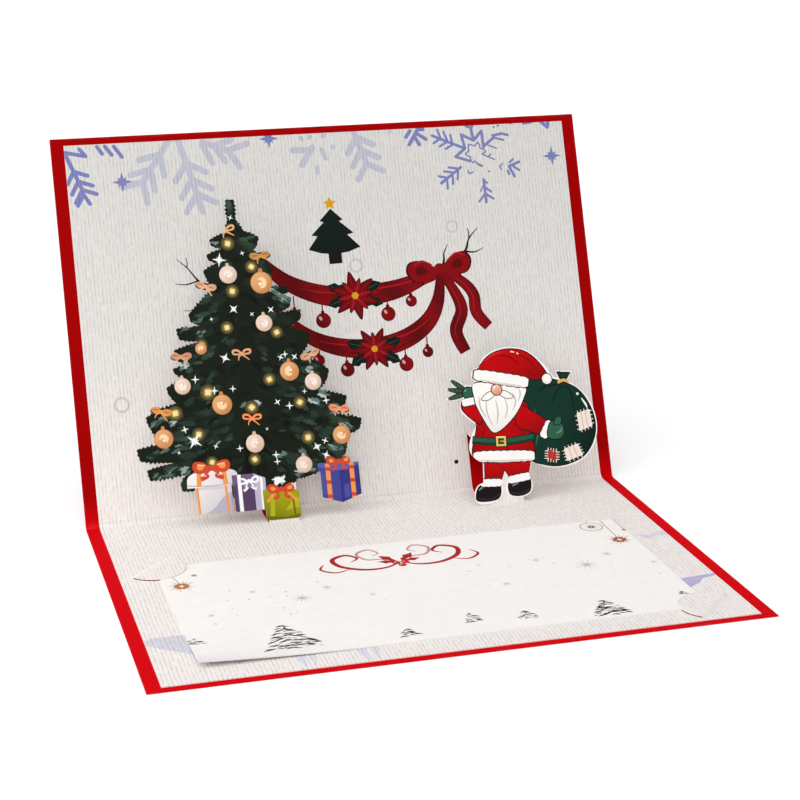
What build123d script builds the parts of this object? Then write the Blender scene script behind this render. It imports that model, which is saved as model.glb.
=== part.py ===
"""Pop-up greeting card, standing open on its lower panel.

Frame: origin at the middle of the lower panel's underside, +X along the fold,
+Y from the front edge to the fold, +Z up. Lengths are in millimetres.
"""

import os
from math import cos, hypot, radians, sin, sqrt, tan

from build123d import *

# Cover: a red card with one fold
PANEL_WIDTH = 210.0
PANEL_DEPTH = 148.0
OPENING = 111.0
COVER_THICKNESS = 0.4
COVER_FOLD_INSIDE = 1.6

# Liner: a white sheet glued inside the cover
LINER_THICKNESS = 0.3
LINER_SIDE_MARGIN = 5.0
LINER_END_MARGIN = 3.0
LINER_FOLD_INSIDE = 3.6

# Steps: strips cut out of the liner and folded forward, which carry the cut-outs
STEP_FOLD_INSIDE = 0.3
STEP_ROOT = 1.6
WINDOW_LAP = 0.8
KERF = 0.2
TREE_STEP_LEFT = -38.0
TREE_STEP_WIDTH = 11.5
TREE_STEP_DEPTH = 13.0
TREE_STEP_HEIGHT = 40.0
FIGURE_STEP_LEFT = 46.4
FIGURE_STEP_WIDTH = 15.0
FIGURE_STEP_DEPTH = 18.0
FIGURE_STEP_HEIGHT = 22.5

# Message card: a loose sheet with two corners tucked under the liner's flaps
MESSAGE_SIDE_MARGIN = 18.4
MESSAGE_FRONT_MARGIN = 12.7
MESSAGE_DEPTH = 88.0
MESSAGE_THICKNESS = 0.25
CURL_REACH = 30.0
CURL_LIFT = 2.0

# Corner flaps: round tongues slit in the liner's lower panel
FLAP_RADIUS = 11.0
FLAP_INSET = 0.8
FLAP_RAMP = 1.8
FLAP_BEND_INSIDE = 1.7
FLAP_ROOT = 1.5
FLAP_SPARE = 0.4
FLAP_KERF = 0.1
FLAP_TURN = {-1: -45.0, 1: 135.0}
TUCK_CLEARANCE = 0.05

# Cut-out sheets
CUTOUT_THICKNESS = 0.3
FOOT_CLEARANCE = 0.8

# Tree, measured sideways from its trunk: the ends of its boughs, as reach and height, with the
# bough's thickness there, and the notches below them
LEADER_CENTRE = -0.7
LEADER_WIDTH = 3.2
LEADER_LENGTH = 7.6
SHOULDER_REACH = 3.6
SHOULDER_LENGTH = 4.6
SHOULDER_RISE = 2.5
BOUGH_TAPER = 0.25
NEEDLE_PITCH = 1.5
NEEDLE_LENGTH = 1.25
NEEDLE_LEAN = 0.7
NEEDLE_UNEVEN = 0.55
NEEDLE_SPREAD = 0.28
NOTCH_SHARE = 0.75
RIGHT_BOUGHS = [
    (9.0, 108.3, 3.5),
    (13.3, 95.7, 2.5),
    (18.8, 88.4, 2.1),
    (19.2, 84.2, 3.4),
    (22.5, 79.5, 3.8),
    (25.3, 70.0, 2.8),
    (31.0, 55.9, 3.5),
    (36.9, 45.2, 3.3),
    (41.8, 36.2, 3.8),
    (35.1, 26.5, 3.1),
    (24.6, 19.4, 1.6),
    (14.4, 15.4, 0.8),
]
RIGHT_NOTCHES = [
    (6.6, 103.4),
    (11.5, 89.1),
    (16.0, 85.5),
    (13.3, 78.4),
    (17.5, 72.8),
    (21.2, 62.4),
    (26.4, 48.2),
    (29.8, 39.0),
    (36.4, 30.4),
    (30.6, 21.0),
    (19.6, 16.2),
    (11.0, 13.6),
]
LEFT_BOUGHS = [
    (9.9, 108.1, 2.2),
    (11.5, 102.5, 2.0),
    (13.3, 96.6, 2.1),
    (20.5, 80.4, 3.0),
    (25.7, 75.4, 4.2),
    (27.3, 67.4, 4.0),
    (28.3, 60.6, 1.8),
    (31.4, 53.7, 2.8),
    (40.1, 43.3, 3.8),
    (44.6, 31.7, 4.5),
    (41.5, 23.6, 3.9),
    (29.6, 17.5, 2.8),
]
LEFT_NOTCHES = [
    (5.7, 104.5),
    (8.0, 99.2),
    (10.6, 89.6),
    (16.5, 76.1),
    (17.3, 70.1),
    (22.1, 61.6),
    (24.6, 56.6),
    (28.3, 47.8),
    (35.0, 32.9),
    (31.2, 25.7),
    (27.1, 21.0),
    (22.0, 14.8),
]

# Ornaments that stand out past the boughs: place beside the trunk, height and radius
BAUBLES = [
    (-34.2, 34.9, 3.6),
    (-25.3, 53.9, 3.1),
    (8.4, 90.7, 4.2),
    (24.5, 51.6, 3.2),
    (33.5, 30.5, 3.5),
    (17.8, 20.6, 3.2),
]

# Bows that stand out past the boughs: place beside the trunk, height and turn
BOW_WIDTH = 8.0
BOW_LOOP_HEIGHT = 2.8
BOW_DROOP = 14.0
BOWS = [
    (-13.0, 90.6, -20.0),
    (9.0, 100.9, 8.0),
    (-24.9, 64.9, -6.0),
    (24.6, 61.9, 24.0),
    (-34.3, 45.0, -20.0),
    (33.6, 40.4, -6.0),
]

# Gifts under the tree, placed beside its trunk
ROUND_BOX_CENTRE = -17.5
ROUND_BOX_WIDTH = 12.8
ROUND_BOX_BASE = 5.8
ROUND_LID_WIDTH = 18.6
ROUND_LID_BASE = 16.0
ROUND_LID_HEIGHT = 5.8
TALL_BOX_CENTRE = -3.9
TALL_BOX_WIDTH = 12.0
TALL_BOX_BASE = 5.2
TALL_BOX_HEIGHT = 13.6
BAG_CENTRE = 8.2
BAG_WIDTH = 13.2
BAG_HEIGHT = 10.8
CUBE_BOX_CENTRE = 31.3
CUBE_BOX_WIDTH = 15.2
CUBE_BOX_TOP = 19.8
CUBE_BOX_HEIGHT = 14.9
CUBE_BOX_RISE = 2.6
GIFT_CORNER = 0.8
ROUND_BOW_WIDTH = 13.6
BAG_BOW_WIDTH = 10.0
CUBE_BOW_WIDTH = 9.0
GIFT_BOW_HEIGHT = 3.2
GIFT_BOW_RISE = 1.0

# Figure: the outlines of the gnome and its sack, placed beside the middle of its step
BRIM_LENGTH = 18.6
BRIM_HEIGHT = 5.6
BRIM_CENTRE = (3.3, 48.0)
BRIM_TURN = -13.0
POMPOM_CENTRE = (21.9, 46.4)
POMPOM_RADIUS = 2.8
MITTEN_CENTRE = (-10.5, 43.6)
MITTEN_RADIUS = 3.0
SPRIG_LENGTH = 9.0
SPRIG_WIDTH = 2.6
SPRIG_TURNS = (140.0, 166.0, 192.0)
HAT_OUTLINE = [
    (-5.5, 51.0),
    (-3.9, 55.6),
    (0.7, 58.8),
    (7.1, 60.0),
    (14.1, 58.6),
    (19.5, 54.0),
    (23.1, 47.4),
    (19.1, 45.6),
    (15.1, 46.0),
    (10.1, 46.0),
]
BEARD_OUTLINE = [
    (-7.3, 48.0),
    (-9.1, 41.0),
    (-6.7, 33.6),
    (-1.9, 26.6),
    (6.1, 31.0),
    (11.9, 38.6),
    (12.3, 45.0),
]
COAT_OUTLINE = [
    (-7.5, 39.0),
    (-9.5, 29.6),
    (-12.1, 20.6),
    (-9.3, 17.2),
    (1.1, 15.2),
    (12.5, 15.2),
    (14.7, 18.8),
    (13.1, 29.0),
    (12.1, 39.0),
]
ARM_OUTLINE = [
    (-4.3, 35.0),
    (-6.9, 30.4),
    (-11.5, 33.6),
    (-14.5, 37.6),
    (-13.3, 41.0),
    (-7.9, 41.4),
]
NEAR_BOOT_OUTLINE = [
    (-9.1, 8.4),
    (-11.9, 5.6),
    (-11.7, 1.4),
    (-4.5, 0.9),
    (-1.3, 3.2),
    (-1.7, 8.2),
]
FAR_BOOT_OUTLINE = [
    (1.9, 8.4),
    (1.5, 3.0),
    (6.5, 1.7),
    (10.9, 3.8),
    (10.5, 9.6),
]
SACK_OUTLINE = [
    (10.1, 17.0),
    (17.1, 12.6),
    (25.6, 11.8),
    (34.5, 15.0),
    (39.7, 22.4),
    (40.3, 30.4),
    (37.3, 38.4),
    (31.9, 43.8),
    (21.1, 47.4),
    (11.1, 46.0),
    (6.1, 34.0),
]
SACK_NECK = [(26.3, 42.0), (26.7, 45.6), (25.7, 49.4), (32.3, 48.6), (30.3, 45.2), (31.3, 42.0)]
NEAR_LEG = [(-7.5, 17.0), (-8.3, 7.0), (-1.3, 6.6), (3.1, 17.0)]
FAR_LEG = [(-1.9, 17.0), (2.7, 8.0), (10.5, 9.0), (12.5, 17.0)]

# Worked out from the values above
STANDING = (Align.CENTER, Align.MIN)
LEAN = OPENING - 90.0
SHEETS = COVER_THICKNESS + LINER_THICKNESS
LINER_WIDTH = PANEL_WIDTH - 2 * LINER_SIDE_MARGIN
LINER_DEPTH = PANEL_DEPTH - LINER_END_MARGIN
FOLD_Y = PANEL_DEPTH / 2
UP = (sin(radians(LEAN)), cos(radians(LEAN)))
MESSAGE_WIDTH = PANEL_WIDTH - 2 * MESSAGE_SIDE_MARGIN
MESSAGE_Y = FOLD_Y - PANEL_DEPTH + MESSAGE_FRONT_MARGIN + MESSAGE_DEPTH / 2
FLAP_LIFT = LINER_THICKNESS + MESSAGE_THICKNESS + TUCK_CLEARANCE
# The leader stands on shoulders that rise from the top bough
SHOULDER_HEIGHT = RIGHT_BOUGHS[0][1] + SHOULDER_RISE
LEADER_FOOT = SHOULDER_HEIGHT + SHOULDER_LENGTH
TREE_TOP = LEADER_FOOT + LEADER_LENGTH
TREE_X = TREE_STEP_LEFT + TREE_STEP_WIDTH / 2 - BAG_CENTRE
FIGURE_X = FIGURE_STEP_LEFT + FIGURE_STEP_WIDTH / 2
# How far behind its centre a flap leaves the liner, so that its ramp ends behind the tucked corner
FLAP_BACK = FLAP_INSET / sqrt(2) + FLAP_RAMP + FLAP_SPARE
FLAP_REACH = FLAP_RADIUS + FLAP_BACK


def section_point(depth_in, along_base, along_back):
    """A point of the card's cross-section (y, z), measured from the fold between the two faces
    that lie depth_in inside the cover's outer faces."""
    corner = FOLD_Y - depth_in / tan(radians(OPENING / 2))
    y = corner - along_base + along_back * UP[0]
    z = depth_in + along_back * UP[1]
    return (y, z)


def popup_plane(middle, step_depth):
    """The front face of a step, with X along the fold, Y up the step and its origin on the liner."""
    origin_y, origin_z = section_point(SHEETS, step_depth, 0)
    return Plane(origin=(middle, origin_y, origin_z), x_dir=(1, 0, 0), z_dir=(0, -UP[1], UP[0]))


def folded_sheet(path, inside_radius, thickness, side):
    """The cross-section of a sheet whose outer face follows the path."""
    with BuildLine() as edge:
        FilletPolyline(*path, radius=inside_radius + thickness)
        offset(amount=thickness, side=side)
    make_face(edge.edges())


def blob(*points):
    """A rounded area through a few points of its edge."""
    with BuildLine() as edge:
        Spline(*points, periodic=True)
    make_face(edge.edges())


def bow(width, loop_height):
    """The outline of a tied bow, two drooping loops about its knot."""
    loop = width / 4
    Circle(loop_height / 2)
    for side in (-1, 1):
        with Locations(Location((side * loop, 0, 0), (0, 0, -side * BOW_DROOP))):
            Ellipse(loop, loop_height / 2)


def needle_growth(before, corner, after):
    """How fast needles may lengthen away from a corner: slowly where it is a narrow notch."""
    first = Vector(*before) - Vector(*corner)
    second = Vector(*after) - Vector(*corner)
    return min(NEEDLE_SPREAD, NOTCH_SHARE * tan(radians(first.get_angle(second) / 2)))


def needled_run(before, start, end, after):
    """The edge of a bough from start to end, with needles on its left side that shorten towards its
    ends, so that those of two boughs don't meet in the notch between them."""
    run_x, run_y = end[0] - start[0], end[1] - start[1]
    length = hypot(run_x, run_y)
    count = max(1, round(length / NEEDLE_PITCH))
    growth = needle_growth(before, start, end), needle_growth(start, end, after)
    points = []
    for index in range(count):
        middle = (index + NEEDLE_LEAN) / count
        uneven = 1 - NEEDLE_UNEVEN * sin(index * index + length) ** 2
        room = min(growth[0] * middle, growth[1] * (1 - middle))
        reach = min(NEEDLE_LENGTH * uneven / length, room)
        tip_x = start[0] + run_x * middle - run_y * reach
        tip_y = start[1] + run_y * middle + run_x * reach
        points.append((tip_x, tip_y))
        last = (index + 1) / count
        points.append((start[0] + run_x * last, start[1] + run_y * last))
    return points


def bough_corners(boughs, notches, side):
    """The corners of one side of the tree from its leader down, two at each bough's end."""
    leader_side = LEADER_CENTRE + side * LEADER_WIDTH / 2
    corners = [
        (leader_side, TREE_TOP),
        (leader_side, LEADER_FOOT),
        (side * SHOULDER_REACH, SHOULDER_HEIGHT),
    ]
    for (reach, height, thickness), (notch_reach, notch_height) in zip(boughs, notches):
        corners.append((side * reach, height))
        corners.append((side * (reach - thickness * BOUGH_TAPER), height - thickness))
        corners.append((side * notch_reach, notch_height))
    return corners


def foliage_outline():
    """The tree's edge, clockwise from the top right of its leader."""
    right = bough_corners(RIGHT_BOUGHS, RIGHT_NOTCHES, 1)
    left = bough_corners(LEFT_BOUGHS, LEFT_NOTCHES, -1)
    corners = [*right, (BAG_CENTRE, FOOT_CLEARANCE + BAG_HEIGHT / 2), *reversed(left)]
    points = []
    for index, start in enumerate(corners):
        end, after = corners[(index + 1) % len(corners)], corners[(index + 2) % len(corners)]
        points += needled_run(corners[index - 1], start, end, after)
    return points


def message_corner(side):
    """The corner of the message card that a flap holds: back left for -1, front right for 1."""
    return (side * MESSAGE_WIDTH / 2, MESSAGE_Y - side * MESSAGE_DEPTH / 2)


def flap_frame(side):
    """A flap's centre and the direction in which it points, over its corner of the message card."""
    corner_x, corner_y = message_corner(side)
    return (corner_x, corner_y + side * FLAP_INSET), FLAP_TURN[side]


def corner_flap(side):
    """One tongue of the liner, ramped up from its root over the tucked corner."""
    (centre_x, centre_y), turn = flap_frame(side)
    level = Plane(origin=(centre_x, centre_y, COVER_THICKNESS)).rotated((0, 0, turn))
    upright = Plane(origin=level.origin, x_dir=level.x_dir, z_dir=-level.y_dir)
    rise = [
        (-FLAP_BACK - FLAP_ROOT, 0),
        (-FLAP_BACK, 0),
        (-FLAP_BACK + FLAP_RAMP, FLAP_LIFT),
        (FLAP_RADIUS, FLAP_LIFT),
    ]
    with BuildPart() as flap:
        with BuildSketch(upright):
            folded_sheet(rise, FLAP_BEND_INSIDE, LINER_THICKNESS, Side.LEFT)
        extrude(amount=FLAP_RADIUS, both=True)
        with BuildSketch(level):
            Circle(FLAP_RADIUS - FLAP_KERF)
        extrude(amount=FLAP_LIFT + LINER_THICKNESS, mode=Mode.INTERSECT)
    return flap.part


flaps = [corner_flap(-1), corner_flap(1)]
steps = [
    (TREE_STEP_LEFT, TREE_STEP_WIDTH, TREE_STEP_DEPTH, TREE_STEP_HEIGHT),
    (FIGURE_STEP_LEFT, FIGURE_STEP_WIDTH, FIGURE_STEP_DEPTH, FIGURE_STEP_HEIGHT),
]

with BuildPart() as cover:
    with BuildSketch(Plane.YZ):
        outside = [
            section_point(0, PANEL_DEPTH, 0),
            section_point(0, 0, 0),
            section_point(0, 0, PANEL_DEPTH),
        ]
        folded_sheet(outside, COVER_FOLD_INSIDE, COVER_THICKNESS, Side.LEFT)
    extrude(amount=PANEL_WIDTH / 2, both=True)

with BuildPart() as liner:
    with BuildSketch(Plane.YZ):
        underside = [
            section_point(COVER_THICKNESS, LINER_DEPTH, 0),
            section_point(COVER_THICKNESS, 0, 0),
            section_point(COVER_THICKNESS, 0, LINER_DEPTH),
        ]
        folded_sheet(underside, LINER_FOLD_INSIDE, LINER_THICKNESS, Side.LEFT)
    extrude(amount=LINER_WIDTH / 2, both=True)
    # Windows that the steps leave behind, across the main fold
    for left, width, depth, height in steps:
        reach, rise = depth + WINDOW_LAP, height + WINDOW_LAP
        band = SHEETS + LINER_FOLD_INSIDE
        window = [
            section_point(0, reach, 0),
            section_point(0, 0, 0),
            section_point(0, 0, rise),
            section_point(band, 0, rise),
            section_point(band, 0, 0),
            section_point(band, reach, 0),
        ]
        with BuildSketch(Plane.YZ.offset(left - KERF)):
            Polygon(*window, align=None)
        extrude(amount=width + 2 * KERF, mode=Mode.SUBTRACT)
    # The steps, parallel to the two panels
    for left, width, depth, height in steps:
        strip = [
            section_point(COVER_THICKNESS, 0, height + STEP_ROOT),
            section_point(COVER_THICKNESS, 0, height),
            section_point(COVER_THICKNESS, depth, height),
            section_point(COVER_THICKNESS, depth, 0),
            section_point(COVER_THICKNESS, depth + STEP_ROOT, 0),
        ]
        with BuildSketch(Plane.YZ.offset(left)):
            folded_sheet(strip, STEP_FOLD_INSIDE, LINER_THICKNESS, Side.RIGHT)
        extrude(amount=width)
    # The corner flaps, with the openings that they leave
    for side in (-1, 1):
        flap_centre, flap_turn = flap_frame(side)
        with BuildSketch(Plane(origin=(*flap_centre, COVER_THICKNESS)).rotated((0, 0, flap_turn))):
            Circle(FLAP_RADIUS)
            with Locations((-FLAP_BACK, 0)):
                Rectangle(FLAP_REACH, 2 * FLAP_RADIUS, align=(Align.MIN, Align.CENTER), mode=Mode.INTERSECT)
        extrude(amount=LINER_THICKNESS, mode=Mode.SUBTRACT)
    add(flaps)

with BuildPart() as tree:
    with BuildSketch(popup_plane(TREE_X, TREE_STEP_DEPTH)):
        with BuildLine():
            Polyline(*foliage_outline(), close=True)
        make_face()
        for x, height, radius in BAUBLES:
            with Locations((x, height)):
                Circle(radius)
        for x, height, turn in BOWS:
            with Locations(Location((x, height, 0), (0, 0, turn))):
                bow(BOW_WIDTH, BOW_LOOP_HEIGHT)
        # Round box with its wider lid
        with Locations((ROUND_BOX_CENTRE, ROUND_BOX_BASE)):
            Rectangle(ROUND_BOX_WIDTH, ROUND_LID_BASE - ROUND_BOX_BASE + GIFT_CORNER, align=STANDING)
        with Locations((ROUND_BOX_CENTRE, ROUND_LID_BASE)):
            RectangleRounded(ROUND_LID_WIDTH, ROUND_LID_HEIGHT, 2 * GIFT_CORNER, align=STANDING)
        # Tall box beside it
        with Locations((TALL_BOX_CENTRE, TALL_BOX_BASE)):
            RectangleRounded(TALL_BOX_WIDTH, TALL_BOX_HEIGHT, GIFT_CORNER, align=STANDING)
        # Bag that stands on the liner in front of the step
        with Locations((BAG_CENTRE, FOOT_CLEARANCE)):
            RectangleRounded(BAG_WIDTH, BAG_HEIGHT, 2 * GIFT_CORNER, align=STANDING)
        # Box seen on its corner, so its base is a shallow point
        half = CUBE_BOX_WIDTH / 2
        with Locations((CUBE_BOX_CENTRE, CUBE_BOX_TOP)):
            Polygon(
                (0, -CUBE_BOX_HEIGHT),
                (half, CUBE_BOX_RISE - CUBE_BOX_HEIGHT),
                (half, 0),
                (-half, 0),
                (-half, CUBE_BOX_RISE - CUBE_BOX_HEIGHT),
                align=None,
            )
        # A tied ribbon on top of each wrapped gift
        for x, top, width in (
            (ROUND_BOX_CENTRE, ROUND_LID_BASE + ROUND_LID_HEIGHT, ROUND_BOW_WIDTH),
            (BAG_CENTRE, FOOT_CLEARANCE + BAG_HEIGHT, BAG_BOW_WIDTH),
            (CUBE_BOX_CENTRE, CUBE_BOX_TOP, CUBE_BOW_WIDTH),
        ):
            with Locations((x, top + GIFT_BOW_RISE)):
                bow(width, GIFT_BOW_HEIGHT)
    extrude(amount=CUTOUT_THICKNESS)

with BuildPart() as figure:
    with BuildSketch(popup_plane(FIGURE_X, FIGURE_STEP_DEPTH)):
        for outline in (
            HAT_OUTLINE,
            BEARD_OUTLINE,
            COAT_OUTLINE,
            ARM_OUTLINE,
            NEAR_BOOT_OUTLINE,
            FAR_BOOT_OUTLINE,
            SACK_OUTLINE,
        ):
            blob(*outline)
        for outline in (SACK_NECK, NEAR_LEG, FAR_LEG):
            Polygon(*outline, align=None)
        with Locations(BRIM_CENTRE):
            SlotOverall(BRIM_LENGTH + BRIM_HEIGHT, BRIM_HEIGHT, rotation=BRIM_TURN)
        with Locations(POMPOM_CENTRE):
            Circle(POMPOM_RADIUS)
        with Locations(MITTEN_CENTRE):
            Circle(MITTEN_RADIUS)
        for turn in SPRIG_TURNS:
            reach = SPRIG_LENGTH / 2
            with Locations(Location((*MITTEN_CENTRE, 0), (0, 0, turn))):
                with Locations((reach, 0)):
                    Ellipse(reach, SPRIG_WIDTH / 2)
    extrude(amount=CUTOUT_THICKNESS)

with BuildPart() as message:
    # The curl runs parallel to the line between the two tucked corners
    diagonal = hypot(MESSAGE_WIDTH, MESSAGE_DEPTH)
    to_free_corner = MESSAGE_WIDTH * MESSAGE_DEPTH / diagonal
    curl_axis = Vector(-MESSAGE_DEPTH, -MESSAGE_WIDTH) / diagonal
    across = Plane(
        origin=(0, MESSAGE_Y, SHEETS),
        x_dir=curl_axis,
        z_dir=(curl_axis.Y, -curl_axis.X, 0),
    )
    with BuildSketch(across):
        with BuildLine():
            flat = Line((-to_free_corner, 0), (to_free_corner - CURL_REACH, 0))
            TangentArc(flat @ 1, (to_free_corner, CURL_LIFT), tangent=(1, 0))
            offset(amount=MESSAGE_THICKNESS, side=Side.LEFT)
        make_face()
    extrude(amount=diagonal / 2, both=True)
    with BuildSketch(Plane.XY.offset(SHEETS)):
        with Locations((0, MESSAGE_Y)):
            Rectangle(MESSAGE_WIDTH, MESSAGE_DEPTH)
    extrude(amount=CURL_LIFT + 2 * MESSAGE_THICKNESS, mode=Mode.INTERSECT)

pieces = {
    "cover": cover,
    "liner": liner,
    "tree_cutout": tree,
    "figure_cutout": figure,
    "message_card": message,
}
os.makedirs("parts", exist_ok=True)
for name, piece in pieces.items():
    piece.part.label = name
    export_step(piece.part, f"parts/{name}.step")
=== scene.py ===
"""Looks of the pop-up card: printed papers, red card, studio light and the photograph's camera."""

import random
from math import atan2, cos, hypot, pi, radians, sin, sqrt

import bpy
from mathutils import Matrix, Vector
from mathutils.geometry import delaunay_2d_cdt


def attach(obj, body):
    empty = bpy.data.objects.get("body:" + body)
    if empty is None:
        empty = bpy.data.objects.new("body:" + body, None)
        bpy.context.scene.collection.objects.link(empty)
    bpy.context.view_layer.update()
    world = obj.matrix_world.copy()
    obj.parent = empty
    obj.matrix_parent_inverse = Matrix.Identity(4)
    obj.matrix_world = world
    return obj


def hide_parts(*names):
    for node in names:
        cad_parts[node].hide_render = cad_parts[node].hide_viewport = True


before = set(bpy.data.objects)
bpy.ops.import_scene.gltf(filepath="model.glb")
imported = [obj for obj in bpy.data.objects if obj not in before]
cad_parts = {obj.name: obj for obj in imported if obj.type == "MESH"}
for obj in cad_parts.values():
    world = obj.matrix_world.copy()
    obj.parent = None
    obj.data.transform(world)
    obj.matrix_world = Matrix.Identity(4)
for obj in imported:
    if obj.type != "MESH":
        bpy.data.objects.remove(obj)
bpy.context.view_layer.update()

# Sizes repeated from the part's source, in millimetres
MM = 0.001
LEAN = radians(21.0)
CREASE = Vector((0, 73.519, 0.7))
SHEET = 0.3
TREE_FOOT = Vector((-40.45, 60.519, 0.7))
FIGURE_FOOT = Vector((53.9, 55.519, 0.7))
MESSAGE_HALF = 86.6
MESSAGE_BACK = -46.819
MESSAGE_FRONT = -134.819
MESSAGE_THICK = 0.25
CURL_REACH = 30.0
CURL_LIFT = 2.0
# White margin that the cutter left round the figure
MARGIN = 0.45
# How far a CAD corner may lie from a printed face that it belongs to, and how alike they must face
FLAT = 0.004
FACING = 0.99
# Corners of the print closer than this become one
WELD = 1e-4
# What shows where nothing is printed: the paper itself, or a window cut in it
PAPER = -1
WINDOW = -2
# The upper panel's painted shade, greyer towards its head: the panel's height, how fast the shade deepens,
# and how far apart its steps are
PANEL_RISE = 148
PAINTED_SHADE_BEND = 1.7
PAINTED_SHADE_STEP = 12
# Half the length of lines that cross the upper panel, and the message card
PANEL_CROSS = 120
CARD_CROSS = 200
CURL_STRIPS = 16

RIGHT = Vector((1, 0, 0))
UP = Vector((0, sin(LEAN), cos(LEAN)))
OUT = Vector((0, -cos(LEAN), sin(LEAN)))
NO_INK = (1.0, 1.0, 1.0)
# Pale grounds of the liner's two panels; the upper one greys from its foot to its head as painted shade
BACK_FOOT = (0.985, 0.955, 0.96)
BACK_HEAD_PAINTED_SHADE = (0.745, 0.755, 0.758)
BASE_TONE = (0.965, 0.935, 0.94)
# White of the liner's cut sides, brighter than its toned face: bare paper with a painted highlight on top
CUT_SIDE_WHITE_AND_HIGHLIGHT = (1.08, 1.08, 1.08)
# Painted shade: the liner's folds are a little darker than its panels
FOLD_PAINTED_SHADE = 0.92

# Papers and card
LINER_WHITE = (0.84, 0.818, 0.79)
LINER_RIB = (0.6, 0.584, 0.562)
CUTOUT_WHITE = (0.92, 0.9, 0.88)
MESSAGE_WHITE = (0.88, 0.855, 0.83)
BASE_RED = (0.63, 0.0007, 0.0044)
# The upper panel's red is darker as painted shade
BACK_RED_PAINTED_SHADE = (0.328, 0.0005, 0.001)
RUBBED_RED = (0.6, 0.06, 0.055)
# Scale of the liner's ribs, which are 1.4 apart, and of the breaks and the grain along them
RIBS = 224.0
RIB_BREAKS = (1100, 290, 290)
RIB_GRAIN = (1300, 600, 600)

# Floor, lamps, world and camera, in metres
FLOOR_DROP = 0.0001
FLOOR_REACH = 6
FLOOR_FAR = 8
FLOOR_DARK = (0.945, 0.955, 0.965)
FLOOR_LIGHT = (0.955, 0.965, 0.975)
# White added to the floor where the camera sees it, so that it meets the white background
FLOOR_LIFT = 0.14
SKY = (1.0, 0.935, 0.89)
SKY_STRENGTH = 0.405
SENSOR = 36.0
FOCAL = 87.64
EYE = (-0.17619, -0.61439, 0.25443)
AIM = (73.311, 0.389, -15.790)


class Face:
    """A flat printed face, with its directions up and out of the paper."""

    def __init__(self, origin, up, out):
        self.origin = origin
        self.up = up
        self.out = out

    def place(self, u, v, rise=0.0):
        return (self.origin + u * RIGHT + v * self.up + rise * self.out) * MM

    def local(self, point):
        offset = point / MM - self.origin
        return offset.dot(RIGHT), offset.dot(self.up), offset.dot(self.out)


BACK = Face(CREASE, UP, OUT)
BASE = Face(CREASE, Vector((0, 1, 0)), Vector((0, 0, 1)))
TREE = Face(TREE_FOOT + SHEET * OUT, UP, OUT)
FIGURE = Face(FIGURE_FOOT + SHEET * OUT, UP, OUT)


# Colours

def linear(code):
    """A colour written as six hexadecimal digits, in linear light."""
    parts = [int(code[i:i + 2], 16) / 255 for i in (0, 2, 4)]
    return tuple(p / 12.92 if p <= 0.04045 else ((p + 0.055) / 1.055) ** 2.4 for p in parts)


def inks(paper, ground=NO_INK):
    """A function that gives the ink which makes a colour where the printed ground looks like paper."""
    seen = linear(paper)
    return lambda code: tuple(min(1.0, c / s) * g for c, s, g in zip(linear(code), seen, ground))


def blend(first, second, share):
    share = max(0.0, min(1.0, share))
    return tuple(a + (b - a) * share for a, b in zip(first, second))


# Outlines

def area_of(outline):
    """The signed area inside a closed outline."""
    ends = outline[1:] + outline[:1]
    return sum(a[0] * b[1] - b[0] * a[1] for a, b in zip(outline, ends)) / 2


def curve(points, closed=False, steps=6):
    """A smooth line through the points."""
    count = len(points)
    line = []
    for i in range(count if closed else count - 1):
        near = [
            points[(i + k) % count] if closed else points[max(0, min(count - 1, i + k))]
            for k in range(-1, 3)
        ]
        for step in range(steps):
            t = step / steps
            weights = (
                (-t + 2 * t * t - t ** 3) / 2,
                (2 - 5 * t * t + 3 * t ** 3) / 2,
                (t + 4 * t * t - 3 * t ** 3) / 2,
                (t ** 3 - t * t) / 2,
            )
            line.append(tuple(sum(w * p[axis] for w, p in zip(weights, near)) for axis in (0, 1)))
    return line if closed else line + [tuple(points[-1])]


def moved(outline, x, y, turn=0.0, size=1.0):
    """An outline turned by some degrees, sized and moved."""
    c, s = cos(radians(turn)) * size, sin(radians(turn)) * size
    return [(x + u * c - v * s, y + u * s + v * c) for u, v in outline]


def disc(x, y, radius, sides=20, stretch=1.0, turn=0.0):
    outline = [(cos(2 * pi * i / sides), stretch * sin(2 * pi * i / sides)) for i in range(sides)]
    return moved(outline, x, y, turn, radius)


def spark(x, y, radius, rays=4, waist=0.22, turn=90.0):
    outline = []
    for i in range(2 * rays):
        reach = waist if i % 2 else 1.0
        outline.append((reach * cos(pi * i / rays), reach * sin(pi * i / rays)))
    return moved(outline, x, y, turn, radius)


def ribbon(line, start, end=None, middle=None):
    """A stroke along a line, with its width at the start, end and middle."""
    end = start if end is None else end
    middle = (start + end) / 2 if middle is None else middle
    left, right = [], []
    last = len(line) - 1
    for i, (x, y) in enumerate(line):
        before, after = line[max(0, i - 1)], line[min(last, i + 1)]
        run = hypot(after[0] - before[0], after[1] - before[1])
        across = ((before[1] - after[1]) / run, (after[0] - before[0]) / run)
        t = i / last
        half = (start * (1 - t) ** 2 + 2 * t * (1 - t) * (2 * middle - (start + end) / 2) + end * t * t) / 2
        left.append((x + across[0] * half, y + across[1] * half))
        right.append((x - across[0] * half, y - across[1] * half))
    return left + right[::-1]


def rod(a, b, width):
    """A straight stroke with round ends."""
    turn = atan2(b[1] - a[1], b[0] - a[0])
    outline = []
    for centre, first in ((b, turn - pi / 2), (a, turn + pi / 2)):
        for step in range(6):
            angle = first + pi * step / 5
            outline.append((centre[0] + cos(angle) * width / 2, centre[1] + sin(angle) * width / 2))
    return outline


def inset(outline, by):
    """An outline drawn in by a small amount."""
    side = 1 if area_of(outline) > 0 else -1
    count = len(outline)
    drawn = []
    for i, (x, y) in enumerate(outline):
        before, after = outline[i - 1], outline[(i + 1) % count]
        run = hypot(after[0] - before[0], after[1] - before[1]) or 1.0
        drawn.append(
            (x - side * (after[1] - before[1]) / run * by, y + side * (after[0] - before[0]) / run * by)
        )
    return drawn


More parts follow.
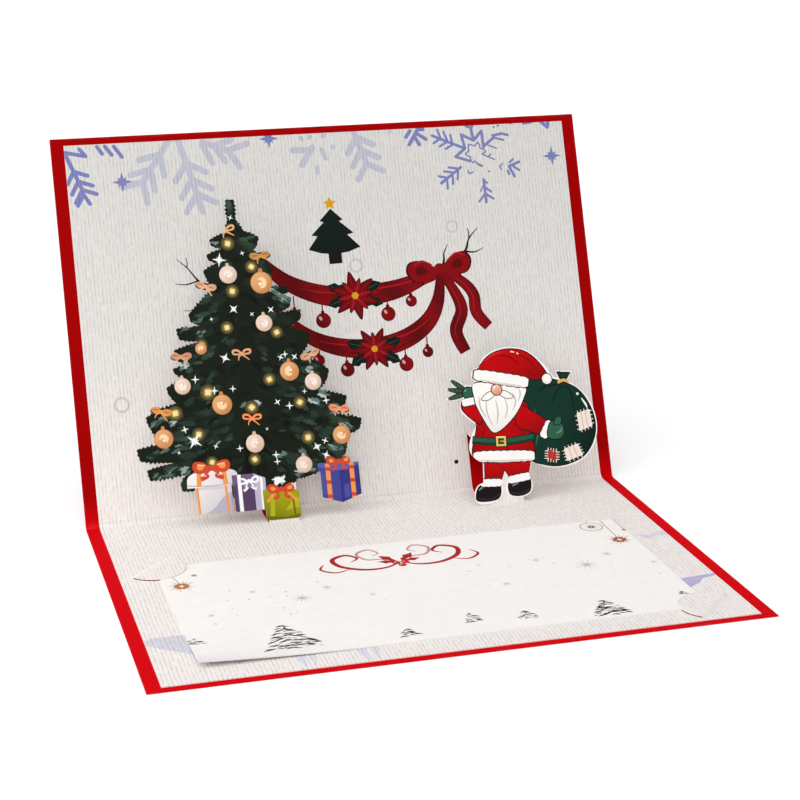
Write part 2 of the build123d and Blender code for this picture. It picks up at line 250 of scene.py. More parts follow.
class Print:
    """Printed areas, the later ones over the earlier, in inks that suit the paper."""

    def __init__(self, on, ground=NO_INK):
        self.on = on
        self.ground = ground
        self.layers = []

    def fill(self, ink, *outlines):
        """Prints areas in an ink, in a colour given by its code, or by a function of the place."""
        ink = self.on(ink) if isinstance(ink, str) else ink
        self.layers += [(ink, outline) for outline in outlines]

    def colour(self, layer, spot):
        ink = self.ground if layer == PAPER else self.layers[layer][0]
        return ink(*spot) if callable(ink) else ink

    def sweep(self, ink, widths, *lines):
        """Smooth strokes, with their widths at the start, end and middle."""
        for points in lines:
            self.fill(ink, ribbon(curve(points), *widths))

    def fern(self, ink, root, tip, width, twigs, spread=48.0):
        """One arm of a snowflake, with pairs of twigs at shares of its length."""
        self.fill(ink, rod(root, tip, width))
        turn = atan2(tip[1] - root[1], tip[0] - root[0])
        for share, length in twigs:
            fork = blend(root, tip, share)
            for side in (-1, 1):
                angle = turn + side * radians(spread)
                end = (fork[0] + length * cos(angle), fork[1] + length * sin(angle))
                self.fill(ink, rod(fork, end, width))


# Meshes

def lies_in(face, mesh, polygon):
    """Whether a CAD polygon is a part of a printed face."""
    flat = all(abs(face.local(mesh.vertices[i].co)[2]) < FLAT for i in polygon.vertices)
    return flat and polygon.normal.dot(face.out) > FACING


def free_edges(outlines):
    """The edges that belong to one outline only, out of outlines that share edges."""
    free = set()
    for outline in outlines:
        for a, b in zip(outline, outline[1:] + outline[:1]):
            if (b, a) in free:
                free.discard((b, a))
            else:
                free.add((a, b))
    return sorted(free)


def rims(node, face):
    """The closed edges round the part of a CAD node that lies in a face."""
    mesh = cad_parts[node].data
    spots = [tuple(round(c, 3) for c in face.local(v.co))[:2] for v in mesh.vertices]
    printed = [polygon for polygon in mesh.polygons if lies_in(face, mesh, polygon)]
    follow = dict(free_edges([[spots[i] for i in polygon.vertices] for polygon in printed]))
    loops = []
    while follow:
        start, spot = follow.popitem()
        loop = [start]
        while spot != start:
            loop.append(spot)
            spot = follow.pop(spot)
        loops.append(loop)
    return loops


def divide(loops, art, creases=()):
    """Triangles inside the loops, each with the number of the layer that shows there."""
    points, faces, owners, edges = [], [], [], []
    jobs = [(PAPER if area_of(loop) > 0 else WINDOW, loop) for loop in loops]
    jobs += [(number, outline) for number, (_, outline) in enumerate(art.layers)]
    for owner, outline in jobs:
        outline = outline if area_of(outline) > 0 else outline[::-1]
        faces.append(list(range(len(points), len(points) + len(outline))))
        points += outline
        owners.append(owner)
    for crease in creases:
        edges.append((len(points), len(points) + 1))
        points += crease
    found = delaunay_2d_cdt([Vector(p) for p in points], edges, faces, 0, WELD)
    spots, triangles, sources = found[0], found[2], found[5]
    kept = []
    for triangle, source in zip(triangles, sources):
        over = [owners[i] for i in source]
        if PAPER in over and WINDOW not in over:
            corners = [tuple(spots[i]) for i in triangle]
            kept.append((corners if area_of(corners) > 0 else corners[::-1], max(over)))
    return kept


class Sheet:
    """A paper piece: faces whose corners each have an ink."""

    def __init__(self):
        self.points = {}
        self.faces = []
        self.inks = []

    def add(self, corners, colours):
        face = [self.points.setdefault(tuple(round(c, 8) for c in p), len(self.points)) for p in corners]
        if len(set(face)) == len(face):
            self.faces.append(face)
            self.inks += [(*c, 1.0) for c in colours]

    def front(self, art, triangles, place):
        for corners, layer in triangles:
            self.add([place(*c) for c in corners], [art.colour(layer, c) for c in corners])

    def thick(self, art, triangles, place, back):
        """A front with the print, a bare back and bare edges."""
        self.front(art, triangles, place)
        for corners, _ in triangles:
            self.add([back(*c) for c in corners[::-1]], [NO_INK] * 3)
        for a, b in free_edges([corners for corners, _ in triangles]):
            self.add([place(*a), back(*a), back(*b), place(*b)], [NO_INK] * 4)

    def piece(self, name, material):
        mesh = bpy.data.meshes.new(name)
        mesh.from_pydata(list(self.points), [], self.faces)
        layer = mesh.color_attributes.new("ink", "FLOAT_COLOR", "CORNER")
        layer.data.foreach_set("color", [c for ink in self.inks for c in ink])
        mesh.materials.append(material)
        mesh.validate()
        made = bpy.data.objects.new(name + "_printed", mesh)
        bpy.context.scene.collection.objects.link(made)
        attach(made, "root")
        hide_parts(name)


# Materials

class Nodes:
    """A short way to write a material's nodes."""

    def __init__(self, name):
        self.material = bpy.data.materials.new(name)
        self.material.use_nodes = True
        self.tree = self.material.node_tree
        self.shader = self.tree.nodes["Principled BSDF"]
        self.where = self.add("ShaderNodeTexCoord").outputs["Object"]

    def plug(self, source, socket):
        """Links a socket to its source, or gives it a value."""
        if isinstance(source, bpy.types.NodeSocket):
            self.tree.links.new(source, socket)
        elif socket.type == "RGBA":
            socket.default_value = (*source, 1.0)
        else:
            socket.default_value = source

    def add(self, kind, links=(), **settings):
        node = self.tree.nodes.new(kind)
        for key, value in settings.items():
            setattr(node, key, value)
        for socket, source in dict(links).items():
            self.plug(source, node.inputs[socket])
        return node

    def scaled(self, stretch):
        return self.add("ShaderNodeMapping", {"Vector": self.where, "Scale": stretch}).outputs["Vector"]

    def noise(self, scale, detail=2.0, stretch=(1, 1, 1)):
        links = {"Vector": self.scaled(stretch), "Scale": scale, "Detail": detail}
        return self.add("ShaderNodeTexNoise", links).outputs["Fac"]

    def axes(self):
        return self.add("ShaderNodeSeparateXYZ", {"Vector": self.where}).outputs

    def ink(self):
        return self.add("ShaderNodeAttribute", attribute_name="ink").outputs["Color"]

    def spread(self, value, low, high, to_low=0.0, to_high=1.0):
        links = {"Value": value, "From Min": low, "From Max": high, "To Min": to_low, "To Max": to_high}
        return self.add("ShaderNodeMapRange", links).outputs["Result"]

    def math(self, kind, a, b=0.0):
        return self.add("ShaderNodeMath", {0: a, 1: b}, operation=kind).outputs[0]

    def tint(self, value, low, high):
        """A colour between two, by a value."""
        return self.add("ShaderNodeMix", {"Factor": value, 6: low, 7: high}, data_type="RGBA").outputs[2]

    def times(self, first, second):
        """Two colours multiplied."""
        links = {"Factor": 1.0, 6: first, 7: second}
        return self.add("ShaderNodeMix", links, data_type="RGBA", blend_type="MULTIPLY").outputs[2]

    def vary(self, colour, value, low, high):
        """A colour times a share between two, by a value."""
        return self.times(colour, self.tint(value, (low,) * 3, (high,) * 3))

    def finish(self, colour, roughness, shine, bump, depth, strength):
        relief = self.add("ShaderNodeBump", {"Height": bump, "Distance": depth, "Strength": strength})
        for name, source in (
            ("Base Color", colour),
            ("Roughness", roughness),
            ("Specular IOR Level", shine),
            ("Normal", relief.outputs["Normal"]),
        ):
            self.plug(source, self.shader.inputs[name])
        return self.material


def laid_paper(name, low, high):
    """White laid paper with fine broken ribs that run up the panels, printed with the ink layer."""
    nodes = Nodes(name)
    wave = {"Vector": nodes.scaled((1.0, 0.25, 0.25)), "Scale": RIBS, "Distortion": 2.6}
    wave.update({"Detail": 1.0, "Detail Scale": 0.6})
    ribs = nodes.add("ShaderNodeTexWave", wave, bands_direction="X").outputs["Fac"]
    breaks = nodes.noise(1.0, detail=1.0, stretch=RIB_BREAKS)
    grain = nodes.noise(1.0, detail=1.0, stretch=RIB_GRAIN)
    fibre = nodes.noise(2600, detail=3.0)
    cloud = nodes.noise(24, detail=3.0)
    # The ribs show a little more on the lower panel
    fade = nodes.spread(nodes.axes()["Z"], 0.001, 0.004, 1.0, 0.85)
    depth = nodes.math("MULTIPLY", nodes.spread(breaks, 0.36, 0.6, 0.15), fade)
    rib = nodes.math("MULTIPLY", nodes.spread(ribs, 0.74, 1.0), depth)
    paper = nodes.tint(rib, high, low)
    paper = nodes.times(paper, nodes.tint(cloud, (0.975, 0.97, 0.965), NO_INK))
    paper = nodes.vary(paper, nodes.spread(grain, 0.3, 0.7), 0.955, 1.045)
    relief = nodes.math("SUBTRACT", nodes.math("MULTIPLY", fibre, 0.3), rib)
    roughness = nodes.spread(fibre, 0.3, 0.7, 0.68, 0.82)
    printed = nodes.times(nodes.ink(), paper)
    return nodes.finish(printed, roughness, shine=0.1, bump=relief, depth=0.00005, strength=0.5)


def coated_paper(name, white, rough, shine):
    """Smooth printed paper: the ink layer, slightly uneven, over fine fibres."""
    nodes = Nodes(name)
    fibre = nodes.noise(1900, detail=4.0)
    mottle = nodes.noise(320, detail=3.0)
    paper = nodes.tint(nodes.noise(45), tuple(0.965 * c for c in white), white)
    paper = nodes.vary(paper, mottle, 0.94, 1.03)
    relief = nodes.math("ADD", fibre, nodes.math("MULTIPLY", mottle, 0.6))
    roughness = nodes.spread(mottle, 0.3, 0.7, rough, rough + 0.12)
    printed = nodes.times(nodes.ink(), paper)
    return nodes.finish(printed, roughness, shine, bump=relief, depth=0.00003, strength=0.4)


def red_card(name):
    """Dyed matt card with fine felt marks, paler where rubbed, and darker on its upper panel as painted
    shade.
    """
    nodes = Nodes(name)
    felt = nodes.noise(1400, detail=4.0)
    x, y, z = nodes.axes()
    # Painted shade: the red darkens from the lower panel up to the upper one
    dyed_with_painted_shade = nodes.tint(nodes.spread(z, 0.0005, 0.012), BASE_RED, BACK_RED_PAINTED_SHADE)
    dyed_with_painted_shade = nodes.vary(dyed_with_painted_shade, nodes.noise(30, detail=3.0), 0.88, 1.06)
    dyed_with_painted_shade = nodes.vary(dyed_with_painted_shade, felt, 0.88, 1.06)
    # Rubbed places: the fold, the two sides, the front edge and the head
    rubbed = nodes.math(
        "MULTIPLY", nodes.spread(z, 0.0006, 0.003, 1.0, 0.0), nodes.spread(y, 0.0725, 0.074),
    )
    for value, inner, outer in (
        (nodes.math("ABSOLUTE", x), 0.1044, 0.105),
        (y, -0.0734, -0.074),
        (z, 0.1374, 0.1382),
    ):
        rubbed = nodes.math("MAXIMUM", rubbed, nodes.spread(value, inner, outer))
    worn = nodes.math("MULTIPLY", rubbed, nodes.spread(nodes.noise(160, detail=4.0), 0.45, 0.7, 0.0, 0.32))
    roughness = nodes.spread(felt, 0.3, 0.7, 0.6, 0.75)
    colour = nodes.tint(worn, dyed_with_painted_shade, RUBBED_RED)
    return nodes.finish(colour, roughness, shine=0.02, bump=felt, depth=0.00004, strength=0.4)


# Print on the liner

def strokes(art, ink, width, *lines):
    """Lines of straight strokes with round ends."""
    for line in lines:
        for a, b in zip(line, line[1:]):
            art.fill(ink, rod(a, b, width))


def bow(art, ink, dark, x, y, width, turn=0.0, tail=0.5):
    """A tied bow with two loops, two tails and a knot."""
    loop = [(0.04, 0.0), (0.2, 0.17), (0.42, 0.2), (0.5, 0.06), (0.4, -0.1), (0.18, -0.1)]
    for side in (-1, 1):
        outline = curve([(side * u, v) for u, v in loop], True, 4)
        hollow = [(side * (0.3 + 0.4 * (abs(u) - 0.3)), 0.05 + 0.42 * (v - 0.05)) for u, v in outline]
        drop = [
            (side * 0.03, -0.02), (side * 0.16, -tail * 0.5), (side * 0.12, -tail * 0.75),
            (side * 0.3, -tail),
        ]
        art.fill(ink, moved(ribbon(curve(drop), 0.06, 0.12), x, y, turn, width))
        art.fill(ink, moved(outline, x, y, turn, width))
        art.fill(dark, moved(hollow, x, y, turn, width))
    art.fill(ink, moved(disc(0, 0.02, 0.085, 12), x, y, turn, width))


def flower(art, x, y, size, turn):
    """A poinsettia: two rings of pointed petals with veins, round a gold middle."""
    petal = curve([(0.0, 0.0), (0.3, 0.2), (0.62, 0.17), (1.0, 0.0), (0.62, -0.17), (0.3, -0.2)], True, 4)
    for first, reach, ink, vein in ((0, 1.0, "6E0209", "97131A"), (30, 0.74, "930710", "B5262B")):
        for i in range(6):
            angle = turn + first + 60 * i
            art.fill("4A0206", moved(petal, x, y, angle, size * reach * 1.05))
            art.fill(ink, moved(inset(petal, 0.03), x, y, angle, size * reach))
            art.fill(vein, moved(ribbon([(0.25, 0.0), (0.85, 0.0)], 0.05, 0.02), x, y, angle, size * reach))
    for i in range(7):
        reach = 0.0 if i == 6 else 0.1 * size
        spot = (x + reach * cos(pi * i / 3), y + reach * sin(pi * i / 3))
        art.fill("E0A22C", disc(*spot, 0.06 * size, 8))


def back_ground_with_painted_shade(x, y):
    """Pale ground of the upper panel, with painted shade that makes it greyer towards its head."""
    return blend(BACK_FOOT, BACK_HEAD_PAINTED_SHADE, 1 - max(0.0, 1 - y / PANEL_RISE) ** PAINTED_SHADE_BEND)


def back_print():
    """Snowflakes, a small fir, and a ribbon garland with flowers, berries and twigs."""
    # The inks here are reckoned against the painted shade of the ground near the panel's head
    on = inks("DDD8D3", back_ground_with_painted_shade(0, 120))
    art = Print(on, back_ground_with_painted_shade)
    pale = on("BFBECA")
    red, deep, light, green = on("88040C"), on("5C0208"), on("A8181E"), on("091712")
    blue = lambda x, y: blend(on("7680BC"), on("8682AE"), 0.5 + 0.5 * sin(0.4 * x + 0.7 * y))

    # Pale snowflakes that hang in from the top edge
    art.fern(pale, (-58.5, 147.0), (-71.3, 129.4), 2.5, ((0.42, 8.4), (0.74, 8.0), (1.0, 8.2)), 42)
    art.fern(pale, (-57.0, 147.0), (-51.1, 123.6), 2.5, ((0.48, 8.3), (0.76, 8.2), (1.0, 8.2)))
    art.fern(pale, (-47.0, 143.4), (-37.4, 139.8), 2.5, ((0.45, 7.2), (1.0, 8.0)), 38)
    strokes(art, pale, 2.4, ((-47.3, 142.5), (-43.9, 135.3)), ((-51.1, 123.6), (-49.5, 116.5)))
    art.fern(pale, (12.6, 147.0), (17.0, 131.7), 2.5, ((0.3, 7.4), (0.64, 7.4), (1.0, 7.2)))
    strokes(art, pale, 2.5, ((-12.0, 138.5), (-6.1, 138.3)), ((-4.0, 139.3), (-8.8, 132.6)))
    strokes(art, pale, 1.8, ((-0.4, 138.2), (0.9, 134.6)), ((-3.0, 131.4), (-3.0, 129.4)))
    for x, y, size in (
        (4, 139, 1.1), (-8.2, 143, 1.2), (-4.8, 143.4, 1.3), (0.8, 143.6, 1.4), (28, 144, 0.9),
    ):
        art.fill(pale, disc(x, y, size, 7, 0.8, 30 * x))

    # Blue snowflake in the left corner, and the ends of others
    art.fern(blue, (-99.4, 140.8), (-94.5, 127.6), 1.6, ((0.46, 5.4), (0.75, 5.6), (1.0, 5.6)), 50)
    strokes(
        art, blue, 1.5,
        ((-99.7, 142.1), (-92.1, 140.4), (-94.2, 143.2)), ((-87.5, 143.8), (-85.8, 141.0)),
        ((-84.5, 143.8), (-82.2, 140.4)), ((-81.1, 143.6), (-78.4, 139.4)),
        ((-92.1, 122.1), (-94.3, 126.0)), ((-96.7, 121.6), (-95.0, 124.4)), ((83.7, 144.8), (87.0, 145.1)),
        ((90.7, 145.4), (93.7, 142.6), (94.2, 145.2)), ((36.1, 143.8), (34.2, 141.4)),
        ((39.0, 143.8), (35.3, 138.4)), ((37.6, 141.8), (39.4, 138.2)), ((38.6, 142.8), (42.4, 140.2)),
        ((39.2, 144.3), (41.5, 144.2)),
    )

    # Large blue snowflake: zigzag star, wavy inner star and six arms, with its lower right worn away
    strokes(
        art, blue, 1.15,
        (
            (59.7, 130.5), (53.8, 132.5), (58.1, 135.7), (57.1, 141.3), (62.0, 138.7), (65.7, 142.4),
            (65.9, 135.8),
        ),
        ((57.9, 135.7), (45.0, 141.5)), ((62.0, 138.7), (61.4, 143.6)),
        ((59.5, 144.7), (61.6, 143.8), (62.1, 144.7)), ((66.0, 136.2), (70.6, 139.5)),
        ((70.1, 140.3), (74.0, 140.9), (76.5, 140.2)), ((55.5, 128.2), (46.8, 122.2)),
        ((64.5, 122.7), (64.6, 113.6)), ((75.7, 127.5), (80.1, 129.1)), ((75.7, 127.5), (77.6, 123.3)),
    )
    strokes(
        art, blue, 0.95,
        ((53.1, 137.8), (52.6, 141.5)), ((51.1, 139.1), (49.9, 142.8)), ((48.4, 140.2), (47.4, 143.7)),
        ((52.9, 137.3), (50.1, 135.9)), ((50.6, 138.5), (47.7, 137.0)), ((48.0, 140.0), (45.3, 138.4)),
        ((71.4, 139.2), (74.5, 138.3)), ((53.8, 127.8), (50.5, 128.4)), ((51.9, 126.3), (48.4, 126.9)),
        ((49.3, 124.3), (46.0, 125.1)), ((54.2, 126.6), (53.7, 123.4)), ((51.8, 124.8), (51.6, 121.7)),
        ((49.3, 123.0), (49.2, 119.9)), ((64.6, 122.3), (65.7, 121.4)), ((64.7, 119.6), (67.1, 117.7)),
        ((64.4, 116.9), (61.7, 114.0)), ((64.8, 116.9), (67.8, 114.8)), ((77.5, 127.4), (79.9, 125.7)),
        ((76.1, 129.1), (77.6, 130.2)), ((75.0, 125.8), (75.4, 124.3)), ((62.4, 129.4), (64.4, 128.2)),
    )
    wave = (
        (59.5, 135.8), (59.7, 137.1), (61.0, 137.0), (62.2, 136.4), (63.6, 137.9), (64.4, 136.8),
        (64.3, 135.5),
    )
    strokes(
        art, blue, 0.6,
        (
            (62.2, 129.6), (61.7, 130.4), (60.8, 129.7), (60.0, 130.9), (60.0, 132.2), (58.6, 132.7),
            (58.1, 133.5),
        ),
        ((58.1, 133.5), (59.7, 134.8), *wave, (65.6, 135.1), (66.5, 133.9), (65.0, 133.0), (70.0, 130.6)),
        ((67.3, 131.7), (68.6, 132.8)), ((67.8, 136.6), (71.3, 135.0)), ((63.8, 120.0), (62.7, 118.0)),
        ((71.7, 127.6), (73.0, 128.7)), ((72.0, 127.3), (72.4, 126.4)),
        ((58.5, 126.8), (58.7, 125.4), (60.4, 126.0)),
    )
    for x, y in ((67.1, 125.9), (71.0, 143.7), (72.9, 144.2), (78.2, 144.8)):
        art.fill(blue, disc(x, y, 0.5, 6))
    for x, y in ((-79.2, 129.8), (94.2, 130.8), (-21.1, 143.6)):
        art.fill(blue, spark(x, y, 4.0, 4, 0.3), spark(x, y, 2.7, 4, 0.35, 45))

    # Faint rings, and a dot beside the figure
    for x, y, radius in ((-87.4, 45.1, 3.1), (8.6, 91.8, 2.9), (49.3, 104.7, 2.7)):
        art.fill("CCC8C4", disc(x, y, radius))
        art.fill(back_ground_with_painted_shade, disc(x, y, radius - 0.9))
    art.fill("1D1516", disc(40.8, 11.7, 0.85, 12))

    # Small fir with a star
    fir = [(0.6, 114.8), (5.2, 110.2), (3.6, 109.7), (9.0, 104.8), (6.4, 104.2), (11.2, 99.1), (6.2, 97.4)]
    fir += [
        (0.8, 96.8), (-4.6, 97.4), (-9.6, 99.1), (-5.6, 104.2), (-8.0, 104.6), (-2.6, 109.6), (-4.2, 110.1),
    ]
    art.fill("170D10", [(-1.9, 93.0), (3.3, 93.1), (3.3, 98.0), (-1.9, 98.0)])
    art.fill(lambda x, y: blend(green, on("060F0C"), (104 - y) / 12), fir)
    art.fill("EFA211", spark(0.5, 116.8, 2.7, 5, 0.5))

    # Twigs tucked behind the garland's bow and behind the tree
    for width, *points in (
        (1.9, (41.0, 87.0), (47.4, 91.2), (53.5, 94.5), (55.7, 99.5), (59.9, 103.7)),
        (0.6, (55.7, 99.5), (55.8, 102.2), (55.4, 103.8)),
        (0.9, (53.5, 94.5), (57.5, 94.0), (61.4, 95.5)),
        (1.2, (43.4, 88.0), (44.5, 91.6), (44.8, 94.4), (46.7, 97.8)),
        (0.9, (-53.5, 89.6), (-54.8, 91.2), (-57.8, 95.4), (-61.5, 98.9)),
        (0.5, (-57.8, 95.4), (-57.5, 97.4), (-57.8, 99.3)),
        (0.7, (-53.5, 90.2), (-58.6, 88.9), (-62.9, 89.5)),
        (0.4, (-55.5, 78.4), (-60.6, 79.0)),
    ):
        art.fill("2A1216", ribbon(curve(points), width, 0.2))

    # Garland: two broad swags of ribbon with a bow, flowers and hanging berries
    folded = lambda x, y: blend(red, deep, 0.5 + 0.5 * sin(0.34 * x + 0.16 * y))
    upper = [
        (-32.0, 99.0), (-20.0, 87.4), (-6.0, 81.2), (8.0, 79.8), (22.0, 81.0), (33.0, 84.2), (42.0, 88.0),
    ]
    lower = [
        (-26.0, 77.0), (-14.0, 66.2), (-2.0, 60.6), (12.0, 59.0), (25.0, 61.4), (35.0, 67.4), (40.4, 76.0),
        (42.4, 87.0),
    ]
    for points, width in ((upper, 8.4), (lower, 7.8)):
        swag = curve(points)
        art.fill(deep, ribbon(swag, 3.0, 2.6, width))
        art.fill(folded, ribbon(swag, 2.2, 1.8, width - 1.0))
        for lift, stroke in ((0.24, 0.7), (-0.06, 0.4), (-0.3, 0.5)):
            fold = [(x, y + lift * width * sin(pi * i / 24)) for i, (x, y) in enumerate(swag[8:33])]
            art.fill(light if lift > 0 else deep, ribbon(fold, 0.15, 0.15, stroke))
    for points, width in (
        (((42.6, 87.0), (50.0, 83.4), (55.0, 77.4), (55.6, 70.0), (60.0, 64.0)), 4.8),
        (((42.4, 87.0), (47.0, 79.6), (49.6, 71.4), (46.4, 63.0), (49.4, 54.6)), 5.2),
    ):
        tail = curve(points)
        art.fill(deep, ribbon(tail, 2.6, width - 0.6, width))
        art.fill(folded, ribbon(tail, 1.8, width - 1.4, width - 1.0))
        art.fill(light, ribbon([(x - 0.5, y) for x, y in tail[4:-4]], 0.15, 0.15, 0.5))
    bow(art, on("3E0105"), on("3E0105"), 42.4, 87.6, 27.6, 8.0, 0.1)
    bow(art, red, deep, 42.4, 87.6, 26.0, 8.0, 0.1)
    art.sweep(
        light, (0.3, 0.3, 0.9), ((31.6, 89.6), (35.0, 91.6), (39.4, 90.0)),
        ((45.6, 91.0), (49.6, 94.0), (53.4, 92.8)),
    )
    for x, top, length, radius in (
        (-17.6, 81.4, 5.0, 2.4), (-6.6, 77.6, 3.4, 3.0), (19.6, 78.2, 3.4, 2.9), (29.4, 83.0, 4.4, 2.3),
        (-10.0, 61.6, 3.4, 2.4), (1.0, 56.8, 2.6, 2.8), (24.8, 57.4, 2.8, 2.9), (34.0, 61.6, 3.6, 2.2),
    ):
        low = top - length
        art.fill(red, rod((x, top), (x, low), 0.5))
        art.fill(deep, disc(x, low - radius, radius))
        art.fill(folded, disc(x + 0.1, low - radius + 0.1, radius - 0.35))
        art.fill(
            deep, [(x - 0.8, low - 0.5), (x + 0.8, low - 0.5), (x + 0.6, low + 0.8), (x - 0.6, low + 0.8)],
        )
        art.fill("DDA09D", disc(x - 0.35 * radius, low - 0.7 * radius, 0.2 * radius, 10, 1.6, 30))
    leaf = [(0, 0), (1.6, 1.5), (3.0, 1.1), (4.2, 2.1), (5.6, 1.2), (6.8, 1.5), (8.6, 0)]
    leaf += [(x, -y) for x, y in leaf[-2:0:-1]]
    for x, y, size, turns in (
        (7.0, 80.0, 9.4, (24, 156, 340, 196)), (12.6, 58.6, 8.6, (16, 164, 330, 210)),
    ):
        for turn in turns:
            art.fill(green, moved(leaf, x, y, turn, 1.35))
            vein = (x + 10.4 * cos(radians(turn)), y + 10.4 * sin(radians(turn)))
            art.fill("3C5146", ribbon([(x, y), vein], 0.5, 0.15))
        flower(art, x, y, size, 12 + 4 * x)
    return art


def base_print():
    """Pale drifts and icicles that show round the message card."""
    art = Print(inks("E8DFDB", BASE_TONE), BASE_TONE)
    art.fill(
        "CDC9D2",
        [
            (-100.6, -109.6), (-97.6, -107.6), (-84, -107.4), (-84, -125.6), (-94.9, -117.2),
            (-100.2, -112.6),
        ],
    )
    art.fill(
        "B6ADCB", [(84, -109), (101, -107.4), (99.0, -109.8), (94.6, -110.4), (91.6, -114.2), (84, -119)],
    )
    art.fill("D8CDD4", [(88, -64), (93, -65.6), (101, -63), (101, -68), (95, -67.4), (91, -70)])
    for x, tip, low, width in (
        (-78, -77.6, -130.8, 2.6), (-73, -73.5, -135, 3.0), (-55, -54, -142.6, 3.4),
        (-50, -50.9, -142.2, 2.6), (-35, -34.1, -144, 3.4), (-30, -30.5, -143.5, 2.6),
    ):
        art.fill(
            "D4D0DA", ribbon([(x, -124), ((x + tip) / 2, -132), (tip, low)], 1.5 * width, 0.8, 1.3 * width),
        )
    return art


# Print on the message card

def snowy_fir(art, x, foot, height, width, seed):
    """A dark fir under snow: uneven boughs, thick and black or thin and grey, with bare white between."""
    chance = random.Random(seed)
    scale = 0.42 + width / 34
    rows = max(3, round(height / (2.0 * scale)))
    for row in range(rows):
        share = (row + 0.6) / rows
        reach = 0.5 * width * share ** 0.75
        count = max(2, round(1.25 * reach / scale))
        for i in range(count):
            at = x + reach * (2 * (i + chance.random()) / count - 1)
            y = foot + height * (1 - share) + chance.uniform(-0.8, 0.8) * scale
            side = 1 if at > x else -1
            weight = chance.random()
            length = (1.4 + 3.0 * weight) * scale
            drop = chance.uniform(0.1, 0.5) * length
            line = [
                (at - side * length / 2, y + drop / 2), (at, y + 0.1 * length),
                (at + side * length / 2, y - drop / 2),
            ]
            hue = chance.choice(
                ("1A1518", "241E21", "332C30") if weight > 0.4 else ("5A5159", "857B86", "A59CA8")
            )
            art.fill(hue, ribbon(line, 0.2 * scale, 0.12, (0.45 + 0.95 * weight) * scale))
    art.fill(
        "2A2427", ribbon([(x, foot + height + 0.4), (x + 0.3, foot + 0.82 * height)], 0.2, 0.9 * scale),
    )


def star_burst(art, x, y, radius, hue):
    """An ornament of fine dark rays round a glowing heart."""
    for i in range(16):
        angle = pi * (i + 0.3) / 8
        reach = radius * (0.66, 1.0, 0.8, 0.94)[i % 4]
        art.fill(
            "8B6C4E",
            ribbon([(x, y), (x + reach * cos(angle), y + reach * sin(angle))], 0.13 * radius, 0.05),
        )
    art.fill("E3B48E", disc(x, y, 0.5 * radius, 18))
    art.fill(hue, spark(x, y, 0.56 * radius, 8, 0.7, 12))
    art.fill("F6E6CC", spark(x, y, 0.24 * radius, 4, 0.5))


